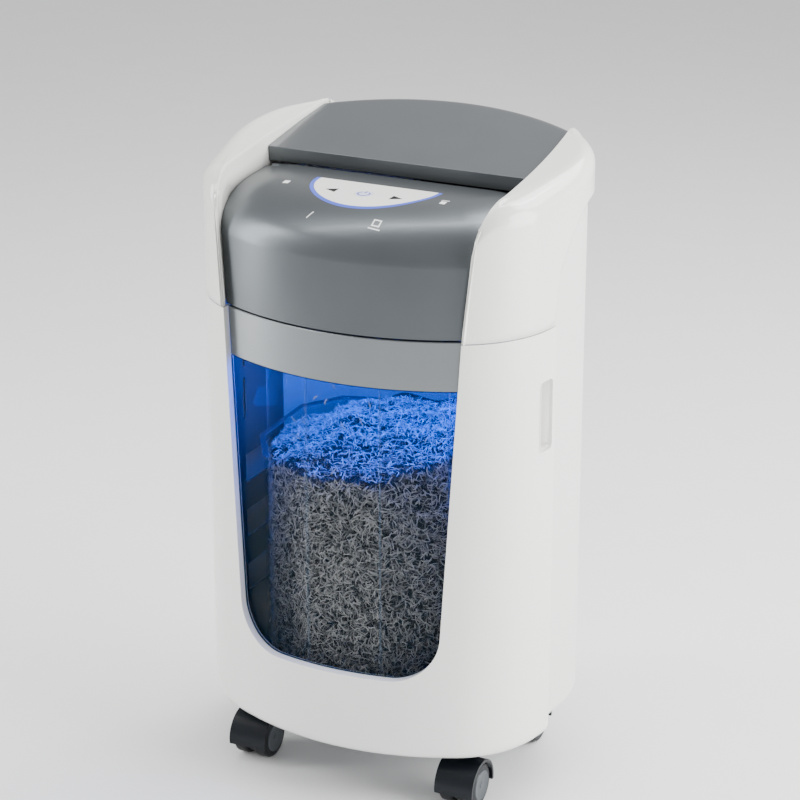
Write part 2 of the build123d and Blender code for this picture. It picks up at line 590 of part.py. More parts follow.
def cutter_parts():
    """Two geared cutter shafts between side plates, driven by a motor through a compound idler."""
    front, rear = NIP - SHAFT_SPACING / 2, NIP + SHAFT_SPACING / 2
    journal = 6.0
    first = -CUTTER_PITCH * CUTTER_COUNT / 2
    for name, depth, shift in (("front", front, 0.2), ("rear", rear, 0.2 + CUTTER_PITCH / 2)):
        discs = []
        for index in range(CUTTER_COUNT):
            x = first + shift + CUTTER_PITCH * index
            discs.append(cutter_disc(x, depth, SHAFT_Z, phase=0.25 * index))
        save(f"{name}_cutters", *discs)
    for name, depth, end in (("front", front, 115.5), ("rear", rear, 123.0)):
        shaft = rod(SHAFT_RADIUS, (-109.5, 109.5), depth, SHAFT_Z) + rod(journal, (-126, end), depth, SHAFT_Z)
        save(f"{name}_cutter_shaft", shaft)

    sync_x, sync_width = -124.5, 7.0
    for name, depth in (("front", front), ("rear", rear)):
        timing = gear(SYNC_TEETH, SYNC_MODULE, sync_width, sync_x, depth, SHAFT_Z, 0.0, journal)
        save(f"{name}_sync_gear", timing)

    drive_centre = (DRIVE_TEETH + IDLER_PINION_TEETH) * DRIVE_MODULE / 2
    idler = (rear + drive_centre * cos(IDLER_ANGLE), SHAFT_Z + drive_centre * sin(IDLER_ANGLE))
    motor_centre = (IDLER_TEETH + MOTOR_TEETH) * MOTOR_MODULE / 2
    motor = (idler[0] + motor_centre * cos(MOTOR_ANGLE), idler[1] + motor_centre * sin(MOTOR_ANGLE))
    save("rear_drive_gear", gear(DRIVE_TEETH, DRIVE_MODULE, 6.0, 116.5, rear, SHAFT_Z,
                                 mesh_phase(DRIVE_TEETH, IDLER_ANGLE, 0.0), journal))
    small = gear(IDLER_PINION_TEETH, DRIVE_MODULE, 7.6, 116.5, *idler,
                 mesh_phase(IDLER_PINION_TEETH, IDLER_ANGLE + pi, 0.5), 4.0 + BORE_GAP)
    large = gear(IDLER_TEETH, MOTOR_MODULE, 4.5, 124.0, *idler,
                 mesh_phase(IDLER_TEETH, MOTOR_ANGLE, 0.0), 4.0 + BORE_GAP)
    save("idler_gear", small + large)
    save("idler_axle", rod(4.0, (115.2, 131.0), *idler) + rod(6.0, (129.3, 131.0), *idler))
    pinion = gear(MOTOR_TEETH, MOTOR_MODULE, 6.0, 123.6, *motor,
                  mesh_phase(MOTOR_TEETH, MOTOR_ANGLE + pi, 0.5), 3.0)
    save("motor_pinion", pinion, rod(3.0, (-8, 131.0), *motor))

    casing = rod(MOTOR_RADIUS, (-12, 78), *motor)
    casing = fillet(casing.edges().filter_by(GeomType.CIRCLE), 4.0) - rod(3.0 + BORE_GAP, (-8.1, 90), *motor)
    save("motor", casing)
    saddle = block((4, 62), (motor[0] - 16, motor[0] + 13), (SEAM + 4.1, motor[1] - 14)) \
        - rod(MOTOR_RADIUS + 0.1, (-60, 90), *motor)
    save("motor_bracket", saddle)

    bush_radius = 9.0
    for name, side, rear_end in (("cutter_plate_right", 1, 222.0), ("cutter_plate_left", -1, 190.0)):
        plate = block((PLATE_X, PLATE_X + PLATE_THICK), (94, rear_end), (SEAM + 4.1, SEAM + 88))
        if side > 0:
            plate -= rod(4.0, (100, 130), *idler)
            plate -= rod(8.0, (100, 130), *motor)
        for depth in (front, rear):
            plate -= rod(bush_radius, (100, 130), depth, SHAFT_Z)
        for depth, z in TIE_PLACES:
            plate -= rod(3.0, (100, 130), depth, z)
        save(name, plate if side > 0 else mirrored(plate))
    bushes = []
    for x in ((PLATE_X - 2.0, PLATE_X + PLATE_THICK), (-PLATE_X - PLATE_THICK, -PLATE_X + 2.0)):
        for depth in (front, rear):
            bore = rod(journal + BORE_GAP, (-200, 200), depth, SHAFT_Z)
            bushes.append(rod(bush_radius - 0.02, x, depth, SHAFT_Z) - bore)
    save("shaft_bushes", *bushes)
    save("tie_rods", *[rod(3.0, (-PLATE_X - 5.5, PLATE_X + 5.5), depth, z) for depth, z in TIE_PLACES])
    strippers(front, rear, first)


TIE_PLACES = ((97.5, SEAM + 12), (97.5, SEAM + 78), (178.5, SEAM + 12))


def strippers(front, rear, first):
    """Combs whose fingers reach between the discs and keep shreds from wrapping round the shafts."""
    finger = 3.4
    combs = (("front_stripper", 0.2, (94.5, 98.5), (98.0, front - SHAFT_RADIUS - 1)),
             ("rear_stripper", 0.2 + CUTTER_PITCH / 2, (174.5, 178.5), (rear + SHAFT_RADIUS + 1, 175.0)))
    for name, shift, bar, reach in combs:
        comb = block((-108, 108), bar, (SHAFT_Z - 18, SHAFT_Z + 18))
        for index in range(CUTTER_COUNT - 1):
            middle = first + shift + CUTTER_PITCH * index + CUTTER_THICK + (CUTTER_PITCH - CUTTER_THICK) / 2
            comb += block((middle - finger / 2, middle + finger / 2), reach, (SHAFT_Z - 12, SHAFT_Z + 12))
        save(name, comb)


def mesh_phase(teeth, direction, offset_share):
    """Phase, in pitches, that puts a tooth (0.0) or a gap (0.5) towards a direction."""
    return teeth * direction / (2 * pi) + offset_share


def electronics_parts():
    """Mains and motor control board beside the motor."""
    board = block((-112, -62), (186, 228), (SEAM + 9, SEAM + 10.6))
    low = SEAM + 10.0
    components = ((-98, 200, 18, 16, 20), (-74, 196, 12, 14, 12), (-96, 219, 22, 10, 15))
    for x, depth, wide, deep, tall in components:
        across_x, across_depth = (x - wide / 2, x + wide / 2), (depth - deep / 2, depth + deep / 2)
        board += block(across_x, across_depth, (low, low + tall))
    for x in (-108, -66):
        for depth in (190, 224):
            board += upright(2.5, x, depth, (SEAM + 4.1, SEAM + 9.5))
    save("power_board", board)


# ---------------------------------------------------------------- casters
def caster_parts():
    """Four twin-wheel casters: hood on a steel stem, and a wheel pair on its axle behind the stem."""
    names = ("front_left", "front_right", "rear_left", "rear_right")
    for name, (x, depth) in zip(names, caster_places()):
        axle_depth = depth + CASTER_TRAIL
        wheels = [rod(AXLE_RADIUS, (x - 16.0, x + 16.0), axle_depth, WHEEL_RADIUS)]
        for side in (-1, 1):
            centre = x + side * WHEEL_SPREAD
            faces = (centre - WHEEL_WIDTH / 2, centre + WHEEL_WIDTH / 2)
            wheel = rod(WHEEL_RADIUS, faces, axle_depth, WHEEL_RADIUS)
            wheel = fillet(wheel.edges().filter_by(GeomType.CIRCLE), 3.0)
            wheels.append(wheel - rod(AXLE_RADIUS, (x - 40, x + 40), axle_depth, WHEEL_RADIUS))
        save(f"caster_wheels_{name}", *wheels)

        hood = rod(WHEEL_RADIUS + 4.0, (x - 18.5, x + 18.5), axle_depth, WHEEL_RADIUS)
        hood &= block((x - 30, x + 30), (axle_depth - 30, axle_depth + 30), (WHEEL_RADIUS - 4, 46))
        room = rod(WHEEL_RADIUS + 1.2, (x - 40, x + 40), axle_depth, WHEEL_RADIUS)
        hood -= room
        web = rod(WHEEL_RADIUS - 3.0, (x - 3.2, x + 3.2), axle_depth, WHEEL_RADIUS) \
            + block((x - 3.2, x + 3.2), (axle_depth, depth + 6), (WHEEL_RADIUS, WHEEL_RADIUS + 22))
        post = upright(8.0, x, depth, (WHEEL_RADIUS + 8, CASE_BOTTOM + 1.6))
        post -= room - rod(WHEEL_RADIUS + 2, (x - 3.2, x + 3.2), axle_depth, WHEEL_RADIUS)
        bore = rod(AXLE_RADIUS + BORE_GAP, (x - 40, x + 40), axle_depth, WHEEL_RADIUS)
        body = hood + web + post - bore - upright(STEM_RADIUS, x, depth, (34, 60))
        save(f"caster_hood_{name}", body, upright(STEM_RADIUS, x, depth, (34.1, BOSS_TOP - 6)))


drawer_parts()
cabinet_parts()
mains_parts()
head_parts()
cutter_parts()
electronics_parts()
caster_parts()
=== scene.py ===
# %% [markdown]
# # An office paper shredder, skin by skin
# The frame holds every working part at its true size. This script dresses it: it gives each visible
# surface its shape and finish, and it never moves a working part. Lengths are written in millimetres,
# because that is how a moulding is drawn, and each finished mesh is scaled to metres once.

# %% Load the frame
import math
import random
import bmesh
import bpy
from mathutils import Matrix, Vector
from mathutils.bvhtree import BVHTree


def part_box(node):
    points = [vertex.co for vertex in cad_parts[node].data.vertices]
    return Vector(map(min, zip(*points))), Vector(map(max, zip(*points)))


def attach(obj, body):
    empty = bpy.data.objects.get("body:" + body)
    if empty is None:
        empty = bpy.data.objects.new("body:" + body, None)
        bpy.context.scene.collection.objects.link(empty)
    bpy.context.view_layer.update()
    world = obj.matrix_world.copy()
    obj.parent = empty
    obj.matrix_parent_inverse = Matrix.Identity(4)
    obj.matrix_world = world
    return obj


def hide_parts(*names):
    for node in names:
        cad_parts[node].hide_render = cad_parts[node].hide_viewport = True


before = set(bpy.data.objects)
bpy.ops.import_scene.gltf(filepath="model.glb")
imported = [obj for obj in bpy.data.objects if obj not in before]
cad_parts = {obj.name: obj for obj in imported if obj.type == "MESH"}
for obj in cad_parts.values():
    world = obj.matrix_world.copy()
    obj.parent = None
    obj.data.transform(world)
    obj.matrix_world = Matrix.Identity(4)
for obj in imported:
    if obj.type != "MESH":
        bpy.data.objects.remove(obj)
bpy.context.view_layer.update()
MM = 0.001

# %% [markdown]
# Every place is measured from two lines of the real casing: how far back from its front, and how far
# above the seam between the drawer and the head. Both come from the frame, so nothing is fitted by eye.

# %% Two reference lines
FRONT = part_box("drawer_shell")[0].y / MM
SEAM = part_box("drawer_shell")[1].z / MM + 1.0
DEPTH = -2.0 * FRONT
print("front at", round(FRONT, 2), "seam at", round(SEAM, 2), "depth", round(DEPTH, 2))


def place(x, depth, above):
    """A point from X, the distance behind the front and the height above the seam."""
    return Vector((x, FRONT + depth, SEAM + above))


# %% [markdown]
# The casing plan is a chain of tangent arcs, as a draughtsman would set it out with a compass. A
# heading angle turns steadily from 0 at the middle of the front to 180 at the middle of the back, so
# one angle names one place on the wall, and moving inwards is a step along the normal.

# %% The casing plan
ARCS = [(248.0, 27.0), (94.5, 79.5), (617.0, 84.0), (109.0, 152.5)]


def closing_radius():
    """The back arc that brings the plan home to the middle plane."""
    reach, heading = 0.0, 0.0
    for radius, turn in ARCS:
        reach += radius * (math.sin(math.radians(turn)) - math.sin(heading))
        heading = math.radians(turn)
    return reach / math.sin(heading)


ARCS.append((closing_radius(), 180.0))


def wall(heading, inset=0.0):
    """X and depth of the casing wall at a heading in degrees; a negative heading is the left half."""
    x, depth, start = 0.0, 0.0, 0.0
    for radius, turn in ARCS:
        end = min(abs(heading), turn)
        if end > start:
            x += radius * (math.sin(math.radians(end)) - math.sin(math.radians(start)))
            depth += radius * (math.cos(math.radians(start)) - math.cos(math.radians(end)))
            start = turn
    x -= inset * math.sin(math.radians(abs(heading)))
    depth += inset * math.cos(math.radians(heading))
    return math.copysign(x, heading), depth


def spread(low, high, count):
    """Evenly spaced values from low to high."""
    return [low + (high - low) * step / (count - 1) for step in range(count)]


def heading_at(depth, inset=0.0):
    """The heading where the wall is this far behind the front, by halving."""
    low, high = 0.0, 179.0
    for _ in range(40):
        middle = (low + high) / 2
        if wall(middle, inset)[1] < depth:
            low = middle
        else:
            high = middle
    return low


def heading_for_x(x, inset=0.0, rear=False):
    """The heading where the front (or rear) stretch of the wall is this far from the middle plane."""
    low, high = (180.0, 90.0) if rear else (0.0, 80.0)
    for _ in range(40):
        middle = (low + high) / 2
        if wall(middle, inset)[0] < x:
            low = middle
        else:
            high = middle
    return low


print("half width", round(wall(84.0)[0], 1), "depth", round(wall(180.0)[1], 2))


# %% [markdown]
# Three helpers carry most of the work. The first turns a bmesh into a finished piece that rides on its
# body. The second sweeps a list of cross-sections into a skin: it lays down one chain of edges and then
# extrudes it from section to section, which keeps every face a clean quad. The third copies a part of
# the frame and welds its loose triangles, so that round faces can be shaded smoothly.

# %% Making a piece
def finish_piece(bm, name, body, material, smooth=35.0, replaces=()):
    """Scales a millimetre bmesh to metres and makes it a piece that rides on a body."""
    bmesh.ops.scale(bm, vec=(MM, MM, MM), verts=bm.verts)
    mesh = bpy.data.meshes.new(name)
    bm.to_mesh(mesh)
    bm.free()
    piece = bpy.data.objects.new(name, mesh)
    bpy.context.scene.collection.objects.link(piece)
    mesh.materials.append(material)
    shade(piece, smooth)
    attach(piece, body)
    if replaces:
        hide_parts(*replaces)
    return piece


def shade(piece, angle):
    """Smooth shading, with edges sharper than the angle left crisp."""
    mesh = piece.data
    mesh.shade_smooth()
    mesh.set_sharp_from_angle(angle=math.radians(angle))


def soften(piece, width, segments=3, angle=35.0):
    """A live bevel in millimetres on every edge sharper than the angle."""
    bevel = piece.modifiers.new("soft edges", "BEVEL")
    bevel.width = width * MM
    bevel.segments = segments
    bevel.profile = 0.5
    bevel.limit_method = "ANGLE"
    bevel.angle_limit = math.radians(angle)
    bevel.material = -1
    bevel.harden_normals = True
    return piece


# %% Sweeping sections into a skin
def sweep(bm, sections, ring=False, caps=False):
    """Extrudes a chain through sections of equal length; ring closes each section on itself."""
    first = [bm.verts.new(point) for point in sections[0]]
    pairs = list(zip(first, first[1:]))
    if ring:
        pairs.append((first[-1], first[0]))
    edges = [bm.edges.new(pair) for pair in pairs]
    chain, start = first, list(edges)
    for section in sections[1:]:
        made = bmesh.ops.extrude_edge_only(bm, edges=edges)
        moved = {}
        for old in chain:
            for edge in old.link_edges:
                other = edge.other_vert(old)
                if other in made["geom"] and other not in chain:
                    moved[old] = other
        chain = [moved[old] for old in chain]
        for vert, point in zip(chain, section):
            vert.co = point
        edges = [e for e in made["geom"] if isinstance(e, bmesh.types.BMEdge)
                 and e.verts[0] in chain and e.verts[1] in chain]
    if caps:
        bmesh.ops.contextual_create(bm, geom=start)
        bmesh.ops.contextual_create(bm, geom=edges)
    bm.normal_update()


def welded_copy(node, name, body, material, smooth=35.0):
    """A piece with the shape of a working part, its triangles welded for smooth shading."""
    bm = bmesh.new()
    bm.from_mesh(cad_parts[node].data)
    bmesh.ops.remove_doubles(bm, verts=bm.verts, dist=0.00002)
    bmesh.ops.dissolve_degenerate(bm, edges=bm.edges, dist=0.00001)
    bmesh.ops.scale(bm, vec=(1 / MM, 1 / MM, 1 / MM), verts=bm.verts)
    return finish_piece(bm, name, body, material, smooth, (node,))


# %% [markdown]
# ## Finishes
# A finish starts from one Principled shader. Constant numbers sit on its own sockets. What varies over
# the surface, such as the fine spark texture of a moulding or a slow drift in gloss, comes from noise on
# Object coordinates, which stay put when a part moves.

# %% A finish from its recipe
def finish(name, colour, vary=0.03, grain=900.0, bump=0.0, rough=(0.25, 0.32), metal=0.0, coat=0.0,
           coat_rough=0.05, alpha=1.0, glow=None, glow_strength=0.0, level=0.5, stretch=(1, 1, 1),
           drift=14.0):
    """A procedural finish: colour with a slow drift, roughness range and a fine bump."""
    material = bpy.data.materials.new(name)
    material.use_nodes = True
    nodes, links = material.node_tree.nodes, material.node_tree.links
    shader = nodes["Principled BSDF"]
    where = nodes.new("ShaderNodeTexCoord")
    turn = nodes.new("ShaderNodeMapping")
    turn.inputs["Scale"].default_value = stretch
    links.new(where.outputs["Object"], turn.inputs["Vector"])
    slow = nodes.new("ShaderNodeTexNoise")
    slow.inputs["Scale"].default_value = drift
    slow.inputs["Detail"].default_value = 3.0
    links.new(turn.outputs["Vector"], slow.inputs["Vector"])
    ramp = nodes.new("ShaderNodeValToRGB")
    ramp.color_ramp.elements[0].position = 0.3
    ramp.color_ramp.elements[1].position = 0.7
    for element, factor in zip(ramp.color_ramp.elements, (1 - vary, 1 + vary)):
        element.color = [min(1.0, channel * factor) for channel in colour[:3]] + [1.0]
    links.new(slow.outputs["Fac"], ramp.inputs["Fac"])
    links.new(ramp.outputs["Color"], shader.inputs["Base Color"])
    fine = nodes.new("ShaderNodeTexNoise")
    fine.inputs["Scale"].default_value = grain
    fine.inputs["Detail"].default_value = 2.0
    links.new(turn.outputs["Vector"], fine.inputs["Vector"])
    sheen = nodes.new("ShaderNodeMapRange")
    sheen.inputs["To Min"].default_value = rough[0]
    sheen.inputs["To Max"].default_value = rough[1]
    links.new(fine.outputs["Fac"], sheen.inputs["Value"])
    links.new(sheen.outputs["Result"], shader.inputs["Roughness"])
    if bump:
        relief = nodes.new("ShaderNodeBump")
        relief.inputs["Strength"].default_value = bump
        relief.inputs["Distance"].default_value = 0.0002
        links.new(fine.outputs["Fac"], relief.inputs["Height"])
        links.new(relief.outputs["Normal"], shader.inputs["Normal"])
    shader.inputs["Metallic"].default_value = metal
    shader.inputs["Coat Weight"].default_value = coat
    shader.inputs["Coat Roughness"].default_value = coat_rough
    shader.inputs["Specular IOR Level"].default_value = level
    shader.inputs["Alpha"].default_value = alpha
    if glow:
        shader.inputs["Emission Color"].default_value = (*glow, 1.0)
        shader.inputs["Emission Strength"].default_value = glow_strength
    return material


# %% The finishes of this machine
gloss_white = finish("gloss white moulding", (0.80, 0.80, 0.765), 0.012, 700, 0.02, (0.16, 0.22), coat=0.5,
                     coat_rough=0.04)
textured_white = finish("fine-textured white moulding", (0.73, 0.73, 0.705), 0.015, 1500, 0.12, (0.38, 0.5))
graphite = finish("metallic grey lacquer", (0.105, 0.117, 0.126), 0.05, 2600, 0.05, (0.3, 0.4), metal=0.85,
                  coat=0.15, coat_rough=0.15)
pale_metallic = finish("light metallic lacquer", (0.105, 0.115, 0.123), 0.04, 2600, 0.05, (0.3, 0.42),
                       metal=0.7, coat=0.3, coat_rough=0.12)
satin_silver = finish("satin silver lacquer", (0.215, 0.232, 0.242), 0.04, 2600, 0.04, (0.28, 0.36),
                      metal=0.85, coat=0.15, coat_rough=0.12)
window_clear = finish("tinted clear pane", (0.0, 0.006, 0.014), 0.02, 60, 0.0, (0.02, 0.04), alpha=0.26,
                      level=0.12)
window_rim = finish("dark edge of the pane", (0.008, 0.045, 0.075), 0.1, 200, 0.0, (0.1, 0.2), alpha=0.9)
bin_clear = finish("clear bin moulding", (0.0, 0.02, 0.05), 0.03, 90, 0.0, (0.04, 0.08), alpha=0.06,
                   level=0.3)
# Painted highlight: a brighter, less clear blue on the bevels of the bin's folds, standing in for the light
# the folds catch.
bin_fold_highlight = finish("painted highlight on the bin folds", (0.20, 0.34, 0.52), 0.03, 90, 0.0, (0.1, 0.2), alpha=0.35)
control_white = finish("satin control face", (0.74, 0.745, 0.72), 0.01, 1400, 0.04, (0.3, 0.38))
ring_blue = finish("lit light guide", (0.05, 0.09, 0.45), 0.04, 300, 0.0, (0.3, 0.4), glow=(0.05, 0.10, 1.0),
                   glow_strength=0.25)
led_blue = finish("lit strip", (0.02, 0.20, 0.95), 0.05, 300, 0.0, (0.3, 0.4), glow=(0.0, 0.14, 1.0),
                  glow_strength=3.0)
key_black = finish("satin black key", (0.004, 0.004, 0.005), 0.1, 1200, 0.03, (0.4, 0.5), level=0.15)
key_pale = finish("pale translucent key", (0.62, 0.66, 0.80), 0.01, 1200, 0.02, (0.25, 0.35))
symbol_blue = finish("blue symbol", (0.02, 0.04, 0.40), 0.05, 700, 0.0, (0.3, 0.4), glow=(0.02, 0.04, 1.0),
                     glow_strength=0.12)
print_white = finish("white print", (0.80, 0.81, 0.80), 0.01, 1200, 0.0, (0.4, 0.5))
slot_black = finish("black moulding", (0.010, 0.011, 0.013), 0.12, 1400, 0.08, (0.34, 0.46))
caster_black = finish("caster moulding", (0.006, 0.008, 0.011), 0.1, 900, 0.06, (0.24, 0.36), level=0.22)
tread_black = finish("wheel tread", (0.008, 0.009, 0.011), 0.15, 900, 0.10, (0.34, 0.5), level=0.22)
cap_grey = finish("wheel cap", (0.05, 0.058, 0.066), 0.06, 1100, 0.05, (0.28, 0.4), level=0.3)
structure_grey = finish("structural plastic", (0.10, 0.11, 0.12), 0.06, 900, 0.08, (0.4, 0.55))
frame_teal = finish("shaded side frame", (0.018, 0.075, 0.11), 0.08, 700, 0.05, (0.35, 0.5))
zinc = finish("zinc-plated sheet", (0.52, 0.54, 0.56), 0.12, 160, 0.05, (0.25, 0.45), metal=1.0, drift=60)
steel = finish("ground tool steel", (0.34, 0.35, 0.37), 0.10, 1500, 0.10, (0.22, 0.4), metal=1.0,
               stretch=(1, 6, 6))
gear_steel = finish("sintered steel", (0.30, 0.30, 0.30), 0.10, 1800, 0.15, (0.35, 0.5), metal=1.0)
nylon = finish("natural nylon", (0.66, 0.63, 0.54), 0.04, 800, 0.05, (0.35, 0.5))
bronze = finish("sintered bronze", (0.45, 0.30, 0.13), 0.10, 1500, 0.12, (0.3, 0.45), metal=1.0)
motor_black = finish("enamelled motor can", (0.05, 0.055, 0.06), 0.10, 500, 0.04, (0.25, 0.35), coat=0.3)
board_green = finish("solder-masked board", (0.015, 0.10, 0.05), 0.25, 1200, 0.15, (0.25, 0.4), drift=220)
print("finishes", len(bpy.data.materials))

# %% [markdown]
# Most parts inside the casing have exactly the shape that the frame gives them. They only need a
# finish, so it is put on their material slots and the meshes stay as they are.

# %% Finishes for the parts that keep their mesh
KEEP = {
    slot_black: ["slot_guide", "paper_sensor", "mains_inlet", "drawer_switch", "caster_sockets",
                 "front_stripper", "rear_stripper"],
    key_black: ["reverse_button", "forward_button", "power_rocker"],
    key_pale: ["power_button"],
    ring_blue: ["light_ring"],
    led_blue: ["led_strips"],
    control_white: ["control_face"],
    structure_grey: ["base_plate", "drawer_tray", "drawer_slides", "head_chassis"],
    frame_teal: ["side_frame_left", "side_frame_right"],
    zinc: ["runner_rails", "cutter_plate_left", "cutter_plate_right", "motor_bracket", "case_screws",
           "tie_rods", "idler_axle"],
    steel: ["front_cutters", "rear_cutters", "front_cutter_shaft", "rear_cutter_shaft"],
    gear_steel: ["front_sync_gear", "rear_sync_gear", "rear_drive_gear", "motor_pinion"],
    nylon: ["idler_gear"],
    bronze: ["shaft_bushes"],
    motor_black: ["motor"],
    board_green: ["control_board", "power_board"],
}
for material, nodes in KEEP.items():
    for node in nodes:
        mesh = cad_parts[node].data
        mesh.materials.clear()
        mesh.materials.append(material)
print("kept", sum(len(nodes) for nodes in KEEP.values()))

# %% [markdown]
# ## Camera, floor and light
# A long lens from the front right and a little above keeps the uprights nearly parallel. The light is a
# studio: a panel on each side makes the soft bands down the round corners, a panel and a narrow strip
# overhead draw the line along the round of the head, and a pale floor and surround fill the rest. Small
# blue lights under the head stand for its lit strips and fall on the heap of paper.

# %% Camera
camera = bpy.data.objects.new("camera", bpy.data.cameras.new("camera"))
bpy.context.scene.collection.objects.link(camera)
camera.location = (0.934, -1.9097, 1.1386)
camera.rotation_euler = (math.radians(90.0 - 20.54), 0.0, math.radians(26.0))
camera.data.lens = 113.8
camera.data.sensor_width = 36.0
camera.data.clip_end = 50.0
bpy.context.scene.camera = camera
print("lens", round(camera.data.lens, 1))


# %% Floor and surround
def studio_floor():
    """A broad pale sheet on the ground."""
    bm = bmesh.new()
    bmesh.ops.create_grid(bm, x_segments=2, y_segments=2, size=6.0)
    mesh = bpy.data.meshes.new("floor")
    bm.to_mesh(mesh)
    bm.free()
    floor = bpy.data.objects.new("floor", mesh)
    bpy.context.scene.collection.objects.link(floor)
    mesh.materials.append(finish("pale floor", (0.86, 0.86, 0.86), 0.01, 40, 0.0, (0.5, 0.6)))


studio_floor()
world = bpy.data.worlds.new("surround")
bpy.context.scene.world = world
world.use_nodes = True
world.node_tree.nodes["Background"].inputs["Color"].default_value = (1.0, 1.0, 1.0, 1.0)
world.node_tree.nodes["Background"].inputs["Strength"].default_value = 0.85


def lamp(name, where, target, size, power, colour=(1.0, 1.0, 1.0)):
    """A rectangular area light that faces its target."""
    light = bpy.data.lights.new(name, "AREA")
    light.shape = "RECTANGLE"
    light.size, light.size_y = size
    light.energy = power
    light.color = colour
    lit = bpy.data.objects.new(name, light)
    lit.location = where
    lit.rotation_euler = (Vector(target) - Vector(where)).to_track_quat("-Z", "Y").to_euler()
    bpy.context.scene.collection.objects.link(lit)
    return lit


lamp("left panel", (-1.6, -0.75, 0.85), (0, 0, 0.3), (0.45, 1.7), 30.0)
lamp("right panel", (1.7, 0.1, 0.9), (0, 0, 0.35), (1.2, 1.7), 75.0)
lamp("overhead", (0.6, 1.1, 2.0), (0, 0, 0.3), (1.6, 1.0), 42.0)
lamp("overhead strip", (-0.25, 0.22, 1.9), (0, 0, 0.5), (2.4, 0.12), 16.0)
DEEP_BLUE = (0.0, 0.10, 1.0)
for depth, power in ((60.0, 1.1), (150.0, 0.8)):
    spot = place(0.0, depth, -7.0) * MM
    lamp("blue glow", spot, spot + Vector((0.0, 0.01, -0.2)), (0.2, 0.03), power, DEEP_BLUE)
for side in (-1.0, 1.0):
    spot = place(100.0 * side, 55.0, -75.0) * MM
    across = spot + Vector((-0.1 * side, 0.06, -0.03))
    lamp("blue side glow", spot, across, (0.12, 0.02), 0.12, DEEP_BLUE)
print("lights", len(bpy.data.lights))


# %% [markdown]
# ## Upper side covers
# Each white cover is one moulding: a wall that follows the casing round the corner, a broad rounded
# shoulder, a ridge that sweeps up from the seam and back over the top, and a short inner wall down to
# the deck. It is swept: a section is drawn at each step along the ridge, from the lower edge up the
# wall, over the shoulder and down inside, and the sections are joined.

# %% The ridge between a cover and the head
WELL_HALF, WELL_WIDEST, WELL_LEAN = 122.4, 100.0, 8.0 / 125.0
RIDGE_FRONT, RIDGE_ARC, RIDGE_CREST, RIDGE_SLOPE = 33.5, 40.0, 117.2, 0.12
RIDGE_TAIL, TAIL_ROLL, TAIL_FOOT = 236.0, 13.0, 97.0


def well_side(depth, above):
    """X of the inner wall of a cover: it closes in quickly to the front and slowly to the rear."""
    lean = WELL_LEAN * above
    if depth < WELL_WIDEST:
        return WELL_HALF - 2.45e-5 * (WELL_WIDEST - depth) ** 3 + lean
    return WELL_HALF - 5.5e-4 * (depth - WELL_WIDEST) ** 2 + lean


UPRIGHT_STEPS, ARC_STEPS, CREST_STEPS, TAIL_STEPS, DROP_STEPS = 15, 16, 22, 9, 5


def quarter(count):
    """The turns of a quarter circle in radians, without the first."""
    return [math.radians(angle) for angle in spread(0.0, 90.0, count)[1:]]


def ridge_path():
    """Depth and height along the ridge: up the front edge, over the arc, back, and down the rear edge."""
    upright = RIDGE_CREST - RIDGE_ARC
    path = []
    for above in spread(0.0, upright, UPRIGHT_STEPS):
        depth = wall(heading_for_x(well_side(30.0, above)))[1]
        behind = 0.3 + 1.2 * above / upright
        path.append((depth + behind, above))
    lead = RIDGE_FRONT - path[-1][0]
    path = [(depth + lead * (above / upright) ** 2, above) for depth, above in path]
    for turn in quarter(ARC_STEPS):
        path.append((RIDGE_FRONT + RIDGE_ARC * (1 - math.cos(turn)), upright + RIDGE_ARC * math.sin(turn)))
    crest_start = RIDGE_FRONT + RIDGE_ARC
    for depth in spread(crest_start, RIDGE_TAIL, CREST_STEPS)[1:]:
        path.append((depth, RIDGE_CREST + RIDGE_SLOPE * (depth - crest_start)))
    high = path[-1][1]
    for turn in quarter(TAIL_STEPS):
        path.append((RIDGE_TAIL + TAIL_ROLL * math.sin(turn), high - TAIL_ROLL * (1 - math.cos(turn))))
    for above in spread(path[-1][1], TAIL_FOOT, DROP_STEPS)[1:]:
        path.append((path[-1][0] + 0.15, above))
    return path


SWEEP_START, SWEEP_END, SWEEP_LOW, SWEEP_TOP = 109.0, 171.0, 35.0, 97.0
SIDE_FROM, SIDE_TO = 84.0, 205.0


def outer_heading(depth, front_heading, rear_heading):
    """The wall heading that faces a ridge point: it runs ahead of the ridge round both corners."""
    if depth < SIDE_FROM:
        share = max(0.0, (depth - RIDGE_FRONT) / (SIDE_FROM - RIDGE_FRONT))
        return front_heading + (heading_at(SIDE_FROM) - front_heading) * share ** 0.75
    if depth > SIDE_TO:
        share = min(1.0, (depth - SIDE_TO) / (RIDGE_TAIL + TAIL_ROLL - SIDE_TO))
        return heading_at(SIDE_TO) + (rear_heading - heading_at(SIDE_TO)) * share
    return heading_at(depth)


print("ridge points", len(ridge_path()), "crest at depth", RIDGE_FRONT + RIDGE_ARC)

# %% [markdown]
# A section climbs the wall, turns over the shoulder, crosses to the ridge and drops down the inner wall.
# The shoulder is broad at the front and tightens to the rear, where the cover ends in a blunt corner.

# %% One section of a cover
SHOULDER, REAR_SHOULDER, REAR_DROP = 22.0, 14.0, 12.0
REARWARD_FROM, REARWARD_OVER = 90.0, 110.0
INNER_REACH, TAIL_REACH = 30.0, 10.0


def shoulder_at(depth, above, gap):
    """How far the shoulder's round runs inwards and down, and the height it rises to."""
    rearward = min(1.0, max(0.0, (depth - REARWARD_FROM) / REARWARD_OVER))
    shoulder = min(SHOULDER + (REAR_SHOULDER - SHOULDER) * rearward, gap * 0.86)
    drop = min(SHOULDER + (REAR_DROP - SHOULDER) * rearward, 0.62 * gap, 0.4 * above + 0.01)
    return shoulder, drop, above + (0.05 * rearward - 0.02) * gap


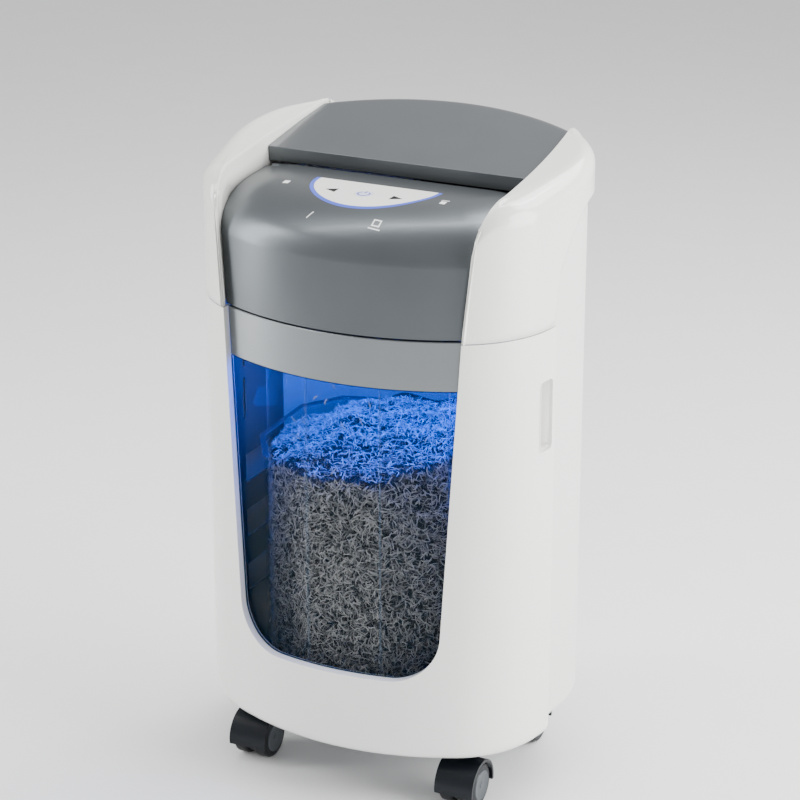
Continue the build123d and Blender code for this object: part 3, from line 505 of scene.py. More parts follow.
def inner_wall(before, here, after):
    """Points from the ridge down the inner wall, along the normal of the ridge line."""
    depth, above = here
    along = Vector((after[0] - before[0], after[1] - before[1])).normalized()
    inner = Vector((along.y, -along.x))
    reach = INNER_REACH if depth < RIDGE_TAIL - 12.0 else TAIL_REACH
    points = []
    for step in (0.0, 0.4, 0.12 * reach, 0.4 * reach, reach):
        inner_depth, inner_above = depth + inner.x * step, above + inner.y * step
        lip = 0.25 if step == 0.0 else 0.0
        points.append((well_side(inner_depth, inner_above) + lip, inner_depth, inner_above))
    return points


def cover_section(before, here, after, heading):
    """One section of the right-hand cover, from its lower edge to the foot of its inner wall."""
    depth, above = here
    x = well_side(depth, above)
    wall_x, wall_depth = wall(heading)
    gap = math.hypot(wall_x - x, wall_depth - depth)
    shoulder, drop, top = shoulder_at(depth, above, gap)

    def between(share, height):
        """A point on the way from the wall to the ridge."""
        return wall_x + (x - wall_x) * share, wall_depth + (depth - wall_depth) * share, height

    foot = min(lower_edge(wall_depth), max(0.0, top - drop))
    points = [between(0.0, height) for height in spread(foot, top - drop, 15)]
    start = shoulder / max(gap, 0.01)
    for turn in quarter(9):
        points.append(between(start * (1 - math.cos(turn)), top - drop + drop * math.sin(turn)))
    for share in spread(min(start, 0.9), 0.97, 5)[1:]:
        points.append(between(share, top + (above - top) * share))
    return [place(*point) for point in points + inner_wall(before, here, after)]


def lower_edge(depth):
    """Height of a cover's lower edge: along the seam, then sweeping up behind the drawer."""
    if depth <= SWEEP_START:
        return 0.0
    share = min(1.0, (depth - SWEEP_START) / (SWEEP_END - SWEEP_START))
    return SWEEP_LOW + (SWEEP_TOP - SWEEP_LOW) * math.sin(math.pi / 2 * share) ** 0.8


def cover_sections():
    """The sections of the right-hand cover, one at each step along the ridge."""
    path = ridge_path()
    front_heading = heading_for_x(well_side(*path[UPRIGHT_STEPS - 1]))
    rear_heading = heading_for_x(well_side(*path[-1]), rear=True)
    sections = []
    for index, here in enumerate(path):
        before, after = path[max(0, index - 1)], path[min(len(path) - 1, index + 1)]
        if index < UPRIGHT_STEPS:
            heading = heading_for_x(well_side(*here))
        else:
            heading = outer_heading(here[0], front_heading, rear_heading)
        sections.append(cover_section(before, here, after, heading))
    return sections


def side_cover(side):
    """One white cover; the left one is the mirror of the right."""
    bm = bmesh.new()
    sweep(bm, cover_sections())
    bmesh.ops.remove_doubles(bm, verts=bm.verts, dist=0.02)
    bmesh.ops.dissolve_degenerate(bm, edges=bm.edges, dist=0.01)
    if side < 0:
        bmesh.ops.scale(bm, vec=(-1, 1, 1), verts=bm.verts)
    bmesh.ops.recalc_face_normals(bm, faces=bm.faces)
    middle, flank = place(side * 100.0, 140.0, 40.0), place(side * 167.0, 120.0, 60.0)
    side_face = min(bm.faces, key=lambda face: (face.calc_center_median() - flank).length)
    if side_face.normal.dot(side_face.calc_center_median() - middle) < 0:
        bmesh.ops.reverse_faces(bm, faces=bm.faces)
    name = "right" if side > 0 else "left"
    cover = finish_piece(bm, f"{name}_cover_skin", "cabinet", gloss_white, 50.0,
                         (f"upper_cover_{name}",))
    thick = cover.modifiers.new("wall", "SOLIDIFY")
    thick.thickness = 2.4 * MM
    thick.offset = -1.0
    return cover


covers = [side_cover(side) for side in (-1, 1)]
print("cover faces", [len(cover.data.polygons) for cover in covers])

# %% [markdown]
# ## Drawer shell
# The lower casing is a wrap-around moulding with a rolled lower edge and a deep frame round the window.
# Its side profile is drawn once as a closed ring and swept along the plan from grip to grip. The window
# is then cut through with a rounded form, and a live bevel breaks the new edges so they catch light.

# %% The shell and its window
SHELL_END, WALL, WINDOW_FRAME = 109.0, 3.0, 11.0
CASE_BOTTOM, LOW_ROUND, SEAM_GAP = 54.5 - SEAM, 16.0, 1.0


def shell_section(heading, thickness):
    """The closed profile of the wall at one heading."""
    rim = []
    rim.append((17.0, CASE_BOTTOM + WALL))
    rim.append((17.0, CASE_BOTTOM))
    for step in range(9):
        angle = math.pi / 2 * step / 8
        rim.append((LOW_ROUND * (1 - math.sin(angle)), CASE_BOTTOM + LOW_ROUND * (1 - math.cos(angle))))
    rim += [(0.0, above) for above in spread(CASE_BOTTOM + LOW_ROUND, -SEAM_GAP, 8)[1:]]
    rim += [(thickness, above) for above in spread(-SEAM_GAP, CASE_BOTTOM + LOW_ROUND, 8)]
    for step in range(1, 9):
        angle = math.pi / 2 * step / 8
        inset = LOW_ROUND - (LOW_ROUND - WALL) * math.cos(angle)
        rim.append((max(inset, thickness), CASE_BOTTOM + LOW_ROUND - (LOW_ROUND - WALL) * math.sin(angle)))
    points = []
    for inset, above in rim:
        x, depth = wall(heading, inset)
        points.append(place(x, depth, above))
    return points


OPENING_HALF, OPENING_SLANT, WINDOW_LOW, WINDOW_ROUND = 113.2, 17.2 / 314.0, -314.0, 42.0


def window_form(grow, front, back):
    """A solid with the window's outline: slanted sides, rounded lower corners, open at the top."""
    bm = bmesh.new()
    low, high = WINDOW_LOW - grow, 30.0
    low_half, top_half = (OPENING_HALF + OPENING_SLANT * above + grow for above in (low, high))
    corners = [(-top_half, high), (-low_half, low), (low_half, low), (top_half, high)]
    verts = [bm.verts.new((x, FRONT + front, SEAM + above)) for x, above in corners]
    bm.faces.new(verts)
    made = bmesh.ops.extrude_face_region(bm, geom=bm.faces[:])
    moved = [item for item in made["geom"] if isinstance(item, bmesh.types.BMVert)]
    bmesh.ops.translate(bm, vec=(0, back - front, 0), verts=moved)
    round_edges = [edge for edge in bm.edges
                   if abs(edge.verts[0].co.x - edge.verts[1].co.x) < 0.01
                   and abs(edge.verts[0].co.z - edge.verts[1].co.z) < 0.01
                   and edge.verts[0].co.z < SEAM]
    bmesh.ops.bevel(bm, geom=round_edges, offset=WINDOW_ROUND + grow, offset_type="OFFSET", affect="EDGES",
                    segments=16, profile=0.5, material=-1)
    bmesh.ops.recalc_face_normals(bm, faces=bm.faces)
    return bm


def helper_object(bm, name):
    """A hidden tool for a boolean; it is removed once used."""
    bmesh.ops.scale(bm, vec=(MM, MM, MM), verts=bm.verts)
    mesh = bpy.data.meshes.new(name)
    bm.to_mesh(mesh)
    bm.free()
    tool = bpy.data.objects.new(name, mesh)
    bpy.context.scene.collection.objects.link(tool)
    return tool


def carve(piece, tool, operation="DIFFERENCE"):
    """Applies a boolean at once, so that the piece keeps a plain mesh, and removes the tool."""
    cut = piece.modifiers.new("carve", "BOOLEAN")
    cut.operation = operation
    cut.solver = "EXACT"
    cut.object = tool
    bpy.context.view_layer.update()
    dg = bpy.context.evaluated_depsgraph_get()
    result = bpy.data.meshes.new_from_object(piece.evaluated_get(dg))
    old = piece.data
    piece.modifiers.remove(cut)
    piece.data = result
    bpy.data.meshes.remove(old)
    bpy.data.objects.remove(tool)


def drawer_skin():
    """The white shell: swept, then cut for the window and for the two grips."""
    end = heading_at(SHELL_END)
    frame_end = heading_for_x(121.0)
    headings = spread(0.0, frame_end, 15) + spread(frame_end + 0.8, end, 24)
    headings = [-heading for heading in reversed(headings[1:])] + headings
    bm = bmesh.new()
    sections = []
    for heading in headings:
        deep = WINDOW_FRAME if abs(heading) <= frame_end + 0.01 else WALL
        sections.append(shell_section(heading, deep))
    sweep(bm, sections, ring=True, caps=True)
    bmesh.ops.recalc_face_normals(bm, faces=bm.faces)
    shell = finish_piece(bm, "drawer_shell_skin", "drawer", gloss_white, 30.0,
                         ("drawer_shell",))
    carve(shell, helper_object(window_form(0.0, -20.0, 60.0), "window tool"))
    for side in (-1, 1):
        bm = grip_form(side, 0.0)
        carve(shell, helper_object(bm, "grip tool"))
    shade(shell, 30.0)
    soften(shell, 1.3, 3, 32.0)
    return shell


GRIP_DEPTHS, GRIP_HEIGHTS, GRIP_FLOOR = (87.0, 104.5), (-110.0, -46.0), 152.6


def grip_form(side, grow, outer=180.0):
    """The rounded block of air in a grip pocket."""
    bm = bmesh.new()
    low = place(GRIP_FLOOR - grow, GRIP_DEPTHS[0] - grow, GRIP_HEIGHTS[0] - grow)
    high = place(outer, GRIP_DEPTHS[1] + grow, GRIP_HEIGHTS[1] + grow)
    size = high - low
    bmesh.ops.create_cube(bm, size=1.0)
    bmesh.ops.scale(bm, vec=size, verts=bm.verts)
    bmesh.ops.translate(bm, vec=(low + high) / 2, verts=bm.verts)
    along_x = [edge for edge in bm.edges if abs(edge.verts[0].co.x - edge.verts[1].co.x) > 1.0]
    bmesh.ops.bevel(bm, geom=along_x, offset=4.0 + grow, offset_type="OFFSET", affect="EDGES", segments=6,
                    profile=0.5, material=-1)
    if side < 0:
        bmesh.ops.scale(bm, vec=(-1, 1, 1), verts=bm.verts)
        bmesh.ops.reverse_faces(bm, faces=bm.faces)
    return bm


def grip_cup(side):
    """The white pocket behind a grip opening: four walls and a floor."""
    bm = grip_form(side, 0.05, wall(heading_at(96.0))[0] - 1.6)
    outside = max(bm.faces, key=lambda face: side * face.calc_center_median().x)
    bmesh.ops.delete(bm, geom=[outside], context="FACES")
    bmesh.ops.reverse_faces(bm, faces=bm.faces)
    name = "right" if side > 0 else "left"
    cup = finish_piece(bm, f"grip_pocket_{name}", "drawer", gloss_white, 40.0)
    thick = cup.modifiers.new("wall", "SOLIDIFY")
    thick.thickness = 1.4 * MM
    thick.offset = -1.0
    return cup


shell = drawer_skin()
grips = [grip_cup(side) for side in (-1, 1)]
print("shell faces", len(shell.data.polygons), "grip pockets", len(grips))

# %% [markdown]
# ## Silver band and window
# The band and the window stand a few millimetres behind the shell, on the same curve. The band is a
# closed ring with small rounds at its lip, swept across the front. The pane is a thin closed sweep that
# the window's own outline trims to fit.

# %% Band
FACE_INSET, BAND_LOW = 7.3, -45.0


def face_span(above, gap):
    """The heading where the face meets the side of the opening at a height."""
    half = OPENING_HALF + OPENING_SLANT * above - gap
    return heading_for_x(half, FACE_INSET)


def front_strip(name, low, high, deep, lip, gap, material, replaces, shelf=0.0):
    """A strip across the front: a closed profile swept from side to side."""
    profile = [(FACE_INSET + deep, low), (FACE_INSET + lip, low), (FACE_INSET, low + lip)]
    profile += [(FACE_INSET, above) for above in spread(low + lip, high - lip, 6)[1:]]
    profile += [(FACE_INSET + lip, high)]
    if shelf:
        profile += [(FACE_INSET + shelf, high), (FACE_INSET + shelf, high - 2.5)]
        profile += [(FACE_INSET + deep, high - 2.5)]
    else:
        profile += [(FACE_INSET + deep, high)]
    sections = []
    for share in spread(-1.0, 1.0, 61):
        points = []
        for inset, above in profile:
            x, depth = wall(share * face_span(above, gap), inset)
            points.append(place(x, depth, above))
        sections.append(points)
    bm = bmesh.new()
    sweep(bm, sections, ring=True, caps=True)
    bmesh.ops.recalc_face_normals(bm, faces=bm.faces)
    return finish_piece(bm, name, "drawer", material, 35.0, replaces)


band = front_strip("silver_band", BAND_LOW, -SEAM_GAP, 3.0, 0.7, 0.4, satin_silver,
                   ("drawer_band",), shelf=16.0)
print("band faces", len(band.data.polygons))

# %% Window pane
pane = front_strip("window_pane", 120.0 - SEAM, BAND_LOW - 0.4, 2.5, 0.3, -6.0, window_clear,
                   ("drawer_window",))
carve(pane, helper_object(window_form(-0.35, -20.0, 60.0), "pane tool"), "INTERSECT")
pane.data.materials.append(window_rim)
for face in pane.data.polygons:
    if abs(face.normal.y) < 0.35:
        face.material_index = 1
shade(pane, 30.0)
print("pane faces", len(pane.data.polygons))

# %% [markdown]
# ## Clear bin
# The bin is a faceted tub: tall at the front, with a lower rim round the back. One chain of corners is
# extruded up to the rim, the front edges are extruded again to the full height, and the rim of the back
# is turned outwards. Solidify gives the wall its two millimetres, and a live bevel rounds each fold and
# carries a painted highlight: a brighter, less clear blue in place of the light a clear fold catches.

# %% Tub
TUB_CORNERS = [(36.0, 30.0), (89.0, 58.0), (92.8, 64.0), (121.0, 108.0), (124.0, 190.0), (100.0, 228.0),
               (60.0, 240.0)]
TUB_FLOOR, TUB_RIM, TUB_TOP, TALL_UNTIL, TUB_MIDDLE = 87.0 - SEAM, -150.0, -11.0, 64.5, 130.0


def tub_plan(inset=0.0, above=0.0):
    """The corners of the tub in order round the plan, from the right front to the left front."""
    right = [Vector((x, depth)) for x, depth in TUB_CORNERS]
    corners = right + [Vector((-point.x, point.y)) for point in reversed(right)]
    points = []
    for index, corner in enumerate(corners):
        before = (corner - corners[index - 1]).normalized()
        after = (corners[(index + 1) % len(corners)] - corner).normalized()
        normal = Vector((-before.y - after.y, before.x + after.x)).normalized()
        stretch = max(0.3, normal.dot(Vector((-before.y, before.x))))
        moved = corner + normal * inset / stretch
        points.append(place(moved.x, moved.y, above))
    return points


def clear_tub():
    """The clear bin, with a dark rim and a painted highlight on its folds."""
    bm = bmesh.new()
    base = [bm.verts.new(point) for point in tub_plan(0.0, TUB_FLOOR)]
    floor = bm.faces.new(base)
    walls = bmesh.ops.extrude_face_region(bm, geom=[floor])
    top = [item for item in walls["geom"] if isinstance(item, bmesh.types.BMFace)][0]
    bmesh.ops.translate(bm, vec=(0, 0, TUB_RIM - TUB_FLOOR), verts=top.verts)
    rim = list(top.edges)
    bmesh.ops.delete(bm, geom=[top], context="FACES_ONLY")
    tall = [edge for edge in rim if all(vert.co.y < FRONT + TALL_UNTIL for vert in edge.verts)]
    low = [edge for edge in rim if edge not in tall]
    raised = bmesh.ops.extrude_edge_only(bm, edges=tall)
    verts = [item for item in raised["geom"] if isinstance(item, bmesh.types.BMVert)]
    bmesh.ops.translate(bm, vec=(0, 0, TUB_TOP - TUB_RIM), verts=verts)
    turned = bmesh.ops.extrude_edge_only(bm, edges=low)
    for item in turned["geom"]:
        if isinstance(item, bmesh.types.BMVert):
            outward = Vector((item.co.x, item.co.y - FRONT - TUB_MIDDLE, 0)).normalized()
            item.co += outward * 4.0
    bmesh.ops.recalc_face_normals(bm, faces=bm.faces)
    tub = finish_piece(bm, "clear_bin", "drawer", bin_clear, 12.0, ("bin_tub",))
    for extra in (window_rim, bin_fold_highlight):
        tub.data.materials.append(extra)
    for face in tub.data.polygons:
        if abs(face.normal.z) > 0.9 and face.center.z / MM > SEAM + TUB_RIM - 5.0:
            face.material_index = 1
    thick = tub.modifiers.new("wall", "SOLIDIFY")
    thick.thickness = 2.0 * MM
    thick.offset = -1.0
    soften(tub, 0.9, 2, 12.0)
    # The bevels on the folds take the painted highlight colour.
    tub.modifiers[-1].material = 2
    return tub


tub = clear_tub()
print("tub corners", len(tub_plan()))

# %% [markdown]
# ## Shreds
# Cross-cut paper lies as a heap of short curled strips. A heap this deep is mostly hidden, so it is a
# rounded core with strips only where they show: pressed against the clear walls, and loose on top. Each
# strip is a copy of one of a few curled grids, and a value on each copy sets its brightness: partly a
# random tone of its own paper, partly painted shade that draws strips lying deeper in the heap darker.

# %% Heap surface
random.seed(7)


HEAP_PEAK, HEAP_MIDDLE, HEAP_LEAST, LIFT_MOST = -121.0, 130.0, -250.0, 16.0


def heap_height(x, depth):
    """Height of the heap above the seam: highest under the cutters, lower to the front and the left."""
    lift = 0.15 * max(0.0, x) - 0.45 * max(0.0, -x - 40.0)
    back = -0.0012 * max(0.0, depth - HEAP_MIDDLE) ** 2
    front = -0.0030 * max(0.0, HEAP_MIDDLE - depth) ** 2
    ripple = 2.2 * math.sin(x * 0.11 + depth * 0.05) + 1.6 * math.sin(x * 0.05 - depth * 0.13)
    return max(HEAP_LEAST, HEAP_PEAK + min(lift, LIFT_MOST) + back + front + ripple)


HEAP_LOW, HEAP_INSET, CORE_TALL = TUB_FLOOR + 3.2, 6.5, 120.0


def heap_core():
    """The mass under the strips: the tub's plan, raised to the heap's surface, with a near-black finish that
    is painted shade.
    """
    bm = bmesh.new()
    base = [bm.verts.new(point) for point in tub_plan(HEAP_INSET, HEAP_LOW)]
    floor = bm.faces.new(base)
    made = bmesh.ops.extrude_face_region(bm, geom=[floor])
    top = [item for item in made["geom"] if isinstance(item, bmesh.types.BMFace)][0]
    bmesh.ops.translate(bm, vec=(0, 0, CORE_TALL), verts=top.verts)
    bmesh.ops.triangulate(bm, faces=[face for face in bm.faces if abs(face.normal.z) > 0.9])
    bmesh.ops.subdivide_edges(bm, edges=bm.edges[:], cuts=15, use_grid_fill=True)
    for vert in bm.verts:
        x, depth = vert.co.x, vert.co.y - FRONT
        share = (vert.co.z - SEAM - HEAP_LOW) / CORE_TALL
        surface = heap_height(x, depth) - 3.0
        vert.co.z = SEAM + HEAP_LOW + (surface - HEAP_LOW) * share
    bmesh.ops.recalc_face_normals(bm, faces=bm.faces)
    return finish_piece(bm, "shred_heap_core", "drawer", shred_core, 60.0)


# %% Finishes of the shreds
def paper_finish(name, dark, light):
    """Paper whose brightness comes from the value on each strip: a random tone of its own, with painted shade
    on it.
    """
    material = bpy.data.materials.new(name)
    material.use_nodes = True
    nodes, links = material.node_tree.nodes, material.node_tree.links
    shader = nodes["Principled BSDF"]
    shade_and_tone = nodes.new("ShaderNodeAttribute")
    shade_and_tone.attribute_name = "shade_and_tone"
    where = nodes.new("ShaderNodeTexCoord")
    speck = nodes.new("ShaderNodeTexNoise")
    speck.inputs["Scale"].default_value = 420.0
    links.new(where.outputs["Object"], speck.inputs["Vector"])
    mixed = nodes.new("ShaderNodeMath")
    mixed.operation = "MULTIPLY_ADD"
    mixed.inputs[1].default_value = 0.25
    links.new(speck.outputs["Fac"], mixed.inputs[0])
    links.new(shade_and_tone.outputs["Fac"], mixed.inputs[2])
    ramp = nodes.new("ShaderNodeValToRGB")
    ramp.color_ramp.elements[0].color = (*dark, 1.0)
    ramp.color_ramp.elements[1].color = (*light, 1.0)
    links.new(mixed.outputs[0], ramp.inputs["Fac"])
    links.new(ramp.outputs["Color"], shader.inputs["Base Color"])
    shader.inputs["Roughness"].default_value = 0.75
    return material


# The dark end of the ramp is painted shade: white paper drawn near black where a strip lies in the heap's
# shadow.
shred_paper = paper_finish("shredded paper", (0.012, 0.013, 0.015), (0.95, 0.96, 0.95))
# Painted shade: the paper deep in the heap is white, and its near-black colour here stands for the shadow it
# lies in.
shred_core = finish("paper in the dark of the heap", (0.018, 0.019, 0.021), 0.5, 260, 0.6, (0.7, 0.85),
                    drift=240)
core = heap_core()
print("core faces", len(core.data.polygons))


# %% Strips
def curled_strip(length, width, curl, bend):
    """A short strip with a curl across its face and a bend in its plane: corner points and faces."""
    bm = bmesh.new()
    bmesh.ops.create_grid(bm, x_segments=3, y_segments=1, size=0.5)
    for vert in bm.verts:
        along = vert.co.x * 2.0
        vert.co = Vector((along * length / 2, vert.co.y * width + bend * along ** 2, curl * (1 - along ** 2)))
    points = [vert.co.copy() for vert in bm.verts]
    faces = [[vert.index for vert in face.verts] for face in bm.faces]
    bm.free()
    return points, faces


STRIPS = [curled_strip(length, width, curl, bend)
          for length, width, curl, bend in ((8, 0.9, 1.0, 0.5), (6, 1.1, 1.3, -0.6), (9, 0.8, 0.8, 0.9),
                                            (4.5, 1.0, 0.6, 0.3), (7, 0.8, 1.5, 0.7))]


def lay_strip(bm, shade_and_tone, points_faces, matrix, brightness):
    """Adds one copy of a strip to the bmesh."""
    points, faces = points_faces
    verts = [bm.verts.new(matrix @ point) for point in points]
    for vert in verts:
        vert[shade_and_tone] = brightness
    for face in faces:
        bm.faces.new([verts[index] for index in face])


def lying(normal, tilt):
    """A random turn in the plane of a normal, with a little tilt out of it."""
    base = Vector(normal).to_track_quat("Z", "Y").to_matrix().to_4x4()
    spin = Matrix.Rotation(random.uniform(0, 2 * math.pi), 4, "Z")
    lean = Matrix.Rotation(random.gauss(0, tilt), 4, random.choice("XY"))
    return base @ spin @ lean


DENSITY, WALL_TALL, WALL_UNTIL = 0.19, 260.0, 150.0
STRAYS, STRAY_TOP, STRAY_UNTIL = 0.10, TUB_RIM + 95.0, 62.0


def wall_strips():
    """Strips pressed against the clear walls up to the heap's surface, and a few strays above it."""
    bm = bmesh.new()
    shade_and_tone = bm.verts.layers.float.new("shade_and_tone")
    inner = tub_plan(3.0, 0.0)
    for index in range(len(inner)):
        start, end = inner[index], inner[(index + 1) % len(inner)]
        middle_depth = (start.y + end.y) / 2 - FRONT
        if middle_depth > WALL_UNTIL:
            continue
        span = (end - start).length
        direction = (end - start).normalized()
        inward = Vector((-direction.y, direction.x, 0))
        for _ in range(int(span * WALL_TALL * DENSITY)):
            point = start + (end - start) * random.random()
            top = heap_height(point.x, point.y - FRONT)
            above = HEAP_LOW + (top - HEAP_LOW) * random.random()
            layer = random.random()
            point = point + inward * (0.6 + 3.2 * layer)
            point.z = SEAM + above
            # Painted shade: strips set further in from the clear wall are drawn darker, around a random tone
            # of their own.
            bright = min(1.0, max(0.0, random.gauss(0.66 - 0.85 * layer, 0.2)))
            matrix = Matrix.Translation(point) @ lying(-inward, 0.28)
            lay_strip(bm, shade_and_tone, random.choice(STRIPS), matrix, bright)
        for _ in range(int(span * STRAYS)):
            point = start + (end - start) * random.random() + inward * 0.4
            top = heap_height(point.x, point.y - FRONT)
            point.z = SEAM + random.uniform(top, STRAY_TOP)
            if middle_depth < STRAY_UNTIL:
                strip = random.choice(STRIPS)
                matrix = Matrix.Translation(point) @ lying(-inward, 0.1)
                lay_strip(bm, shade_and_tone, strip, matrix, 0.8)
    print("wall strips", len(bm.faces) // 3)
    return finish_piece(bm, "shreds_against_wall", "drawer", shred_paper, 180.0)


def inside_tub(x, depth, margin):
    """Whether a point lies inside the tub's plan by a margin."""
    corners = [(abs(point.x), point.y - FRONT) for point in tub_plan(margin)[:len(TUB_CORNERS)]]
    if depth < corners[0][1] or depth > corners[-1][1]:
        return False
    for (x0, d0), (x1, d1) in zip(corners, corners[1:]):
        if d0 <= depth <= d1:
            return abs(x) < x0 + (x1 - x0) * (depth - d0) / max(0.01, d1 - d0)
    return False


LOOSE_COUNT, LOOSE_HALF, LOOSE_DEPTHS = 5200, 118, (33, 190)


def loose_strips():
    """Strips on top of the heap, less orderly than those against the wall."""
    bm = bmesh.new()
    shade_and_tone = bm.verts.layers.float.new("shade_and_tone")
    count = 0
    while count < LOOSE_COUNT:
        x, depth = random.uniform(-LOOSE_HALF, LOOSE_HALF), random.uniform(*LOOSE_DEPTHS)
        if not inside_tub(x, depth, 7.0):
            continue
        count += 1
        layer = random.random()
        height = heap_height(x, depth) - 2.0 + 4.5 * layer
        # Painted shade: strips lower in the top layer are drawn darker and higher ones lighter, around a
        # random tone of their own.
        bright = min(1.0, max(0.0, random.gauss(0.25 + 0.5 * layer, 0.2)))
        matrix = Matrix.Translation(place(x, depth, height)) @ lying((0, 0, 1), 0.55)
        lay_strip(bm, shade_and_tone, random.choice(STRIPS), matrix, bright)
    return finish_piece(bm, "shreds_on_top", "drawer", shred_paper, 180.0)


pressed = wall_strips()
loose = loose_strips()
print("strip faces", len(pressed.data.polygons), len(loose.data.polygons))

# %% [markdown]
# ## Head
# The metallic panel and the rear housing already have their rounded forms in the frame. Their triangles
# are welded so that the large soft round of the panel shades as one surface. The sloped panel behind the
# slot is swept anew, because its back edge rolls over into the rear wall.

# %% Welded skins of the head and the rear
head_skin = welded_copy("head_front_panel", "head_panel_skin", "cabinet", graphite, 32.0)
rear_skin = welded_copy("rear_housing", "rear_housing_skin", "cabinet", textured_white, 32.0)
print("head faces", len(head_skin.data.polygons), "rear faces", len(rear_skin.data.polygons))

# %% The sloped panel
SLOPE_START, SLOPE_RISE, SLOPE, ROLL = 140.0, 115.0, 0.2, 14.0
ROLL_TURN, REAR_FOOT, FRONT_DROP = math.radians(78.0), 96.5, 13.0
FLAT_END, ROLL_END, REAR_END = 1.0, 1.5, 1.6


def slope_point(share, run):
    """A point of the panel: share from side to side; run goes up the slope, round the roll and down."""
    x, depth, above = 0.0, 0.0, 0.0
    for _ in range(3):
        heading = heading_for_x(max(0.5, abs(x)), 0.3, rear=True)
        rear = wall(heading, 0.3)[1]
        flat = rear - ROLL - SLOPE_START
        high = SLOPE_RISE + SLOPE * flat
        if run <= FLAT_END:
            depth = SLOPE_START + flat * run
            above = SLOPE_RISE + SLOPE * (depth - SLOPE_START)
        elif run <= ROLL_END:
            turn = ROLL_TURN * (run - FLAT_END) / (ROLL_END - FLAT_END)
            depth = SLOPE_START + flat + ROLL * math.sin(turn)
            above = high + SLOPE * ROLL * math.sin(turn) - ROLL * (1 - math.cos(turn))
        else:
            depth = rear
            top = high - ROLL * 0.9
            above = top + (REAR_FOOT - top) * (run - ROLL_END) / (REAR_END - ROLL_END)
        x = abs(share) * (well_side(depth, above) - 0.6)
    return place(math.copysign(x, share), depth, above)


def slope_skin():
    """The sloped panel behind the slot, with its front drop, its roll and its short rear face."""
    runs = spread(0.0, FLAT_END, 22) + spread(FLAT_END, ROLL_END, 11)[1:] + [1.52, 1.54, 1.57, REAR_END]
    shares = [-1.0] + spread(-0.995, 0.995, 41) + [1.0]
    bm = bmesh.new()
    front = []
    for share in shares:
        start = slope_point(share, 0.0)
        front.append(start + Vector((0.0, 0.0, -FRONT_DROP)))
    sections = [front] + [[slope_point(share, run) for share in shares] for run in runs]
    sweep(bm, sections)
    bmesh.ops.recalc_face_normals(bm, faces=bm.faces)
    if bm.faces[len(bm.faces) // 4].normal.z < 0:
        bmesh.ops.reverse_faces(bm, faces=bm.faces)
    panel = finish_piece(bm, "slope_panel_skin", "cabinet", pale_metallic, 40.0,
                         ("rear_slope_panel",))
    thick = panel.modifiers.new("wall", "SOLIDIFY")
    thick.thickness = 2.6 * MM
    thick.offset = -1.0
    soften(panel, 0.8, 3, 40.0)
    return panel


slope = slope_skin()
print("slope faces", len(slope.data.polygons))

# %% [markdown]
# ## Marks on the deck
# The small pictures on the deck are printed, so they are films a tenth of a millimetre thick that follow
# its curve. Each is drawn flat from simple bars, cut fine enough to bend, and dropped onto the surface
# below by casting a ray down at every corner.

# %% Dropping a flat mark onto a surface
def surface_tree(*pieces):
    """A ray-cast tree of pieces, in millimetres."""
    bm = bmesh.new()
    for piece in pieces:
        bm.from_mesh(piece.data)
    bmesh.ops.scale(bm, vec=(1 / MM, 1 / MM, 1 / MM), verts=bm.verts)
    tree = BVHTree.FromBMesh(bm)
    bm.free()
    return tree


def bar(bm, x, depth, length, width, angle):
    """A flat bar in plan, subdivided so that it can bend."""
    turn = Matrix.Translation((x, FRONT + depth, 0)) @ Matrix.Rotation(math.radians(angle), 4, "Z")
    made = bmesh.ops.create_grid(bm, x_segments=6, y_segments=2, size=0.5, matrix=Matrix.Identity(4))
    bmesh.ops.scale(bm, vec=(length, width, 1.0), verts=made["verts"])
    bmesh.ops.transform(bm, matrix=turn, verts=made["verts"])


def arc_band(bm, x, depth, radius, width, start, end):
    """A flat arc in plan, spun from a short line; angles from +X in degrees."""
    direction = Vector((math.cos(math.radians(start)), math.sin(math.radians(start)), 0))
    centre = Vector((x, FRONT + depth, 0))
    a = bm.verts.new(centre + direction * (radius - width / 2))
    b = bm.verts.new(centre + direction * (radius + width / 2))
    edge = bm.edges.new((a, b))
    bmesh.ops.spin(bm, geom=[a, b, edge], cent=centre, axis=(0, 0, 1), angle=math.radians(end - start),
                   steps=28, use_merge=False)


def drop_mark(bm, name, tree, body, material, lift=0.12):
    """Lays a flat mark on the surface under it."""
    for vert in bm.verts:
        hit = tree.ray_cast(Vector((vert.co.x, vert.co.y, SEAM + 200.0)), Vector((0, 0, -1)))[0]
        vert.co.z = hit.z + lift
    for face in bm.faces:
        face.normal_update()
        if face.normal.z < 0:
            face.normal_flip()
    return finish_piece(bm, name, body, material, 60.0)


# %% The printed pictures and the power symbol
deck = surface_tree(head_skin)


PAGE = [(-77.6, 80.0, 5.44, 6.4, 0.0)]
STROKE = [(-29.0, 31.0, 7.5, 1.1, 62.0)]
OPEN_BIN = [(33.0, 35.0, 7.5, 1.3, 0.0), (29.9, 31.5, 1.3, 6.0, 0.0), (36.1, 31.5, 1.3, 6.0, 0.0),
            (33.0, 29.2, 7.5, 1.3, 0.0), (33.0, 26.4, 11.0, 1.1, 0.0)]
PAGE_AND_BAR = [(71.6, 79.4, 5.0, 6.0, 0.0), (71.6, 84.6, 7.5, 1.1, 0.0)]


def picture_marks():
    """The four small pictures; each bar is given by X, depth, length, width and angle."""
    bm = bmesh.new()
    for x, depth, length, width, angle in PAGE + STROKE + OPEN_BIN + PAGE_AND_BAR:
        bar(bm, x, depth, length, width, angle)
    return drop_mark(bm, "deck_pictures", deck, "cabinet", print_white)


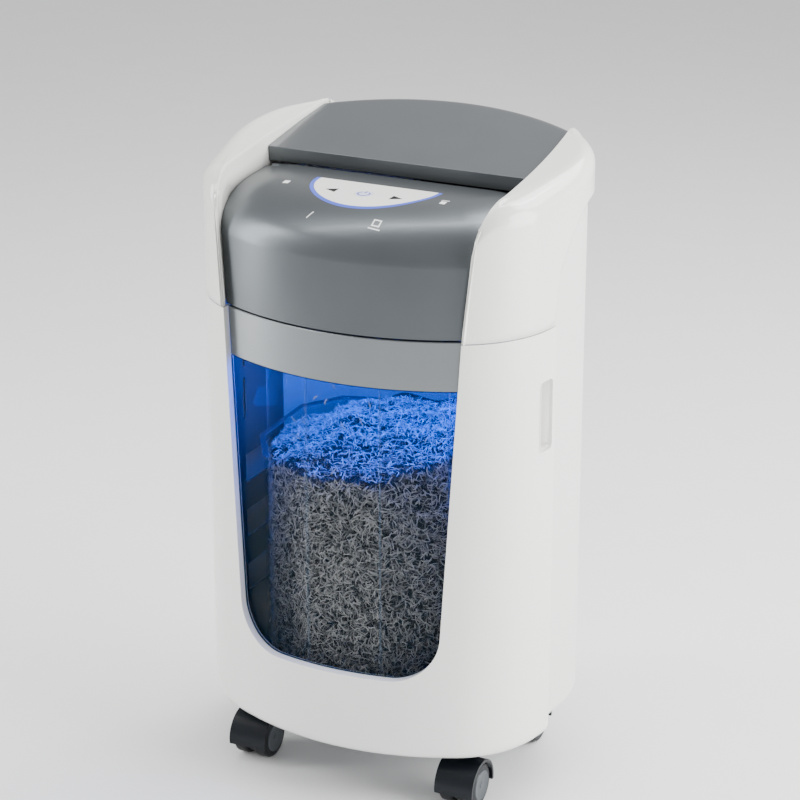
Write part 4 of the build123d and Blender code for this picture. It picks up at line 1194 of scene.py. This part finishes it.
def power_symbol():
    """The broken ring and its bar, on the power key."""
    bm = bmesh.new()
    arc_band(bm, 0.0, 74.0, 5.2, 1.25, 122.0, 418.0)
    bar(bm, 0.0, 78.4, 1.25, 5.4, 0.0)
    key = surface_tree(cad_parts["power_button"])
    return drop_mark(bm, "power_symbol", key, "power_key", symbol_blue)


pictures = picture_marks()
symbol = power_symbol()
print("mark faces", len(pictures.data.polygons), len(symbol.data.polygons))

# %% [markdown]
# ## Casters
# A hood of black plastic covers the front of each wheel pair. The frame's shapes are right, so they are
# welded and shaded smooth. Each wheel gets a grey dished cap on its outer face, spun from a profile.

# %% Hoods, wheels and caps
CORNERS = ("front_left", "front_right", "rear_left", "rear_right")
CAP_PROFILE = [(0.0, 0.9), (2.6, 0.9), (3.2, 0.35), (10.5, 0.2), (12.6, 0.75), (13.6, 0.75), (14.2, 0.0)]


def wheel_caps(corner):
    """Two dished caps, one on the outer face of each wheel."""
    low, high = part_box(f"caster_wheels_{corner}")
    middle = (low + high) / 2 / MM
    half = 17.0
    bm = bmesh.new()
    for side in (-1, 1):
        face = Vector((middle.x + side * half, middle.y, middle.z))
        verts = [bm.verts.new(face + Vector((side * out, 0, radius))) for radius, out in CAP_PROFILE]
        edges = [bm.edges.new(pair) for pair in zip(verts, verts[1:])]
        bmesh.ops.spin(bm, geom=verts + edges, cent=face, axis=(1, 0, 0), angle=2 * math.pi, steps=40,
                       use_merge=True)
    bmesh.ops.remove_doubles(bm, verts=bm.verts, dist=0.01)
    bmesh.ops.recalc_face_normals(bm, faces=bm.faces)
    for face in bm.faces:
        outward = 1 if face.calc_center_median().x > middle.x else -1
        if face.normal.x * outward < -0.05:
            face.normal_flip()
    return finish_piece(bm, f"wheel_caps_{corner}", f"wheels_{corner}", cap_grey, 30.0)


for corner in CORNERS:
    welded_copy(f"caster_hood_{corner}", f"hood_skin_{corner}", f"caster_{corner}",
                caster_black, 30.0)
    welded_copy(f"caster_wheels_{corner}", f"wheel_skin_{corner}", f"wheels_{corner}",
                tread_black, 30.0)
    wheel_caps(corner)
print("casters", len(CORNERS))
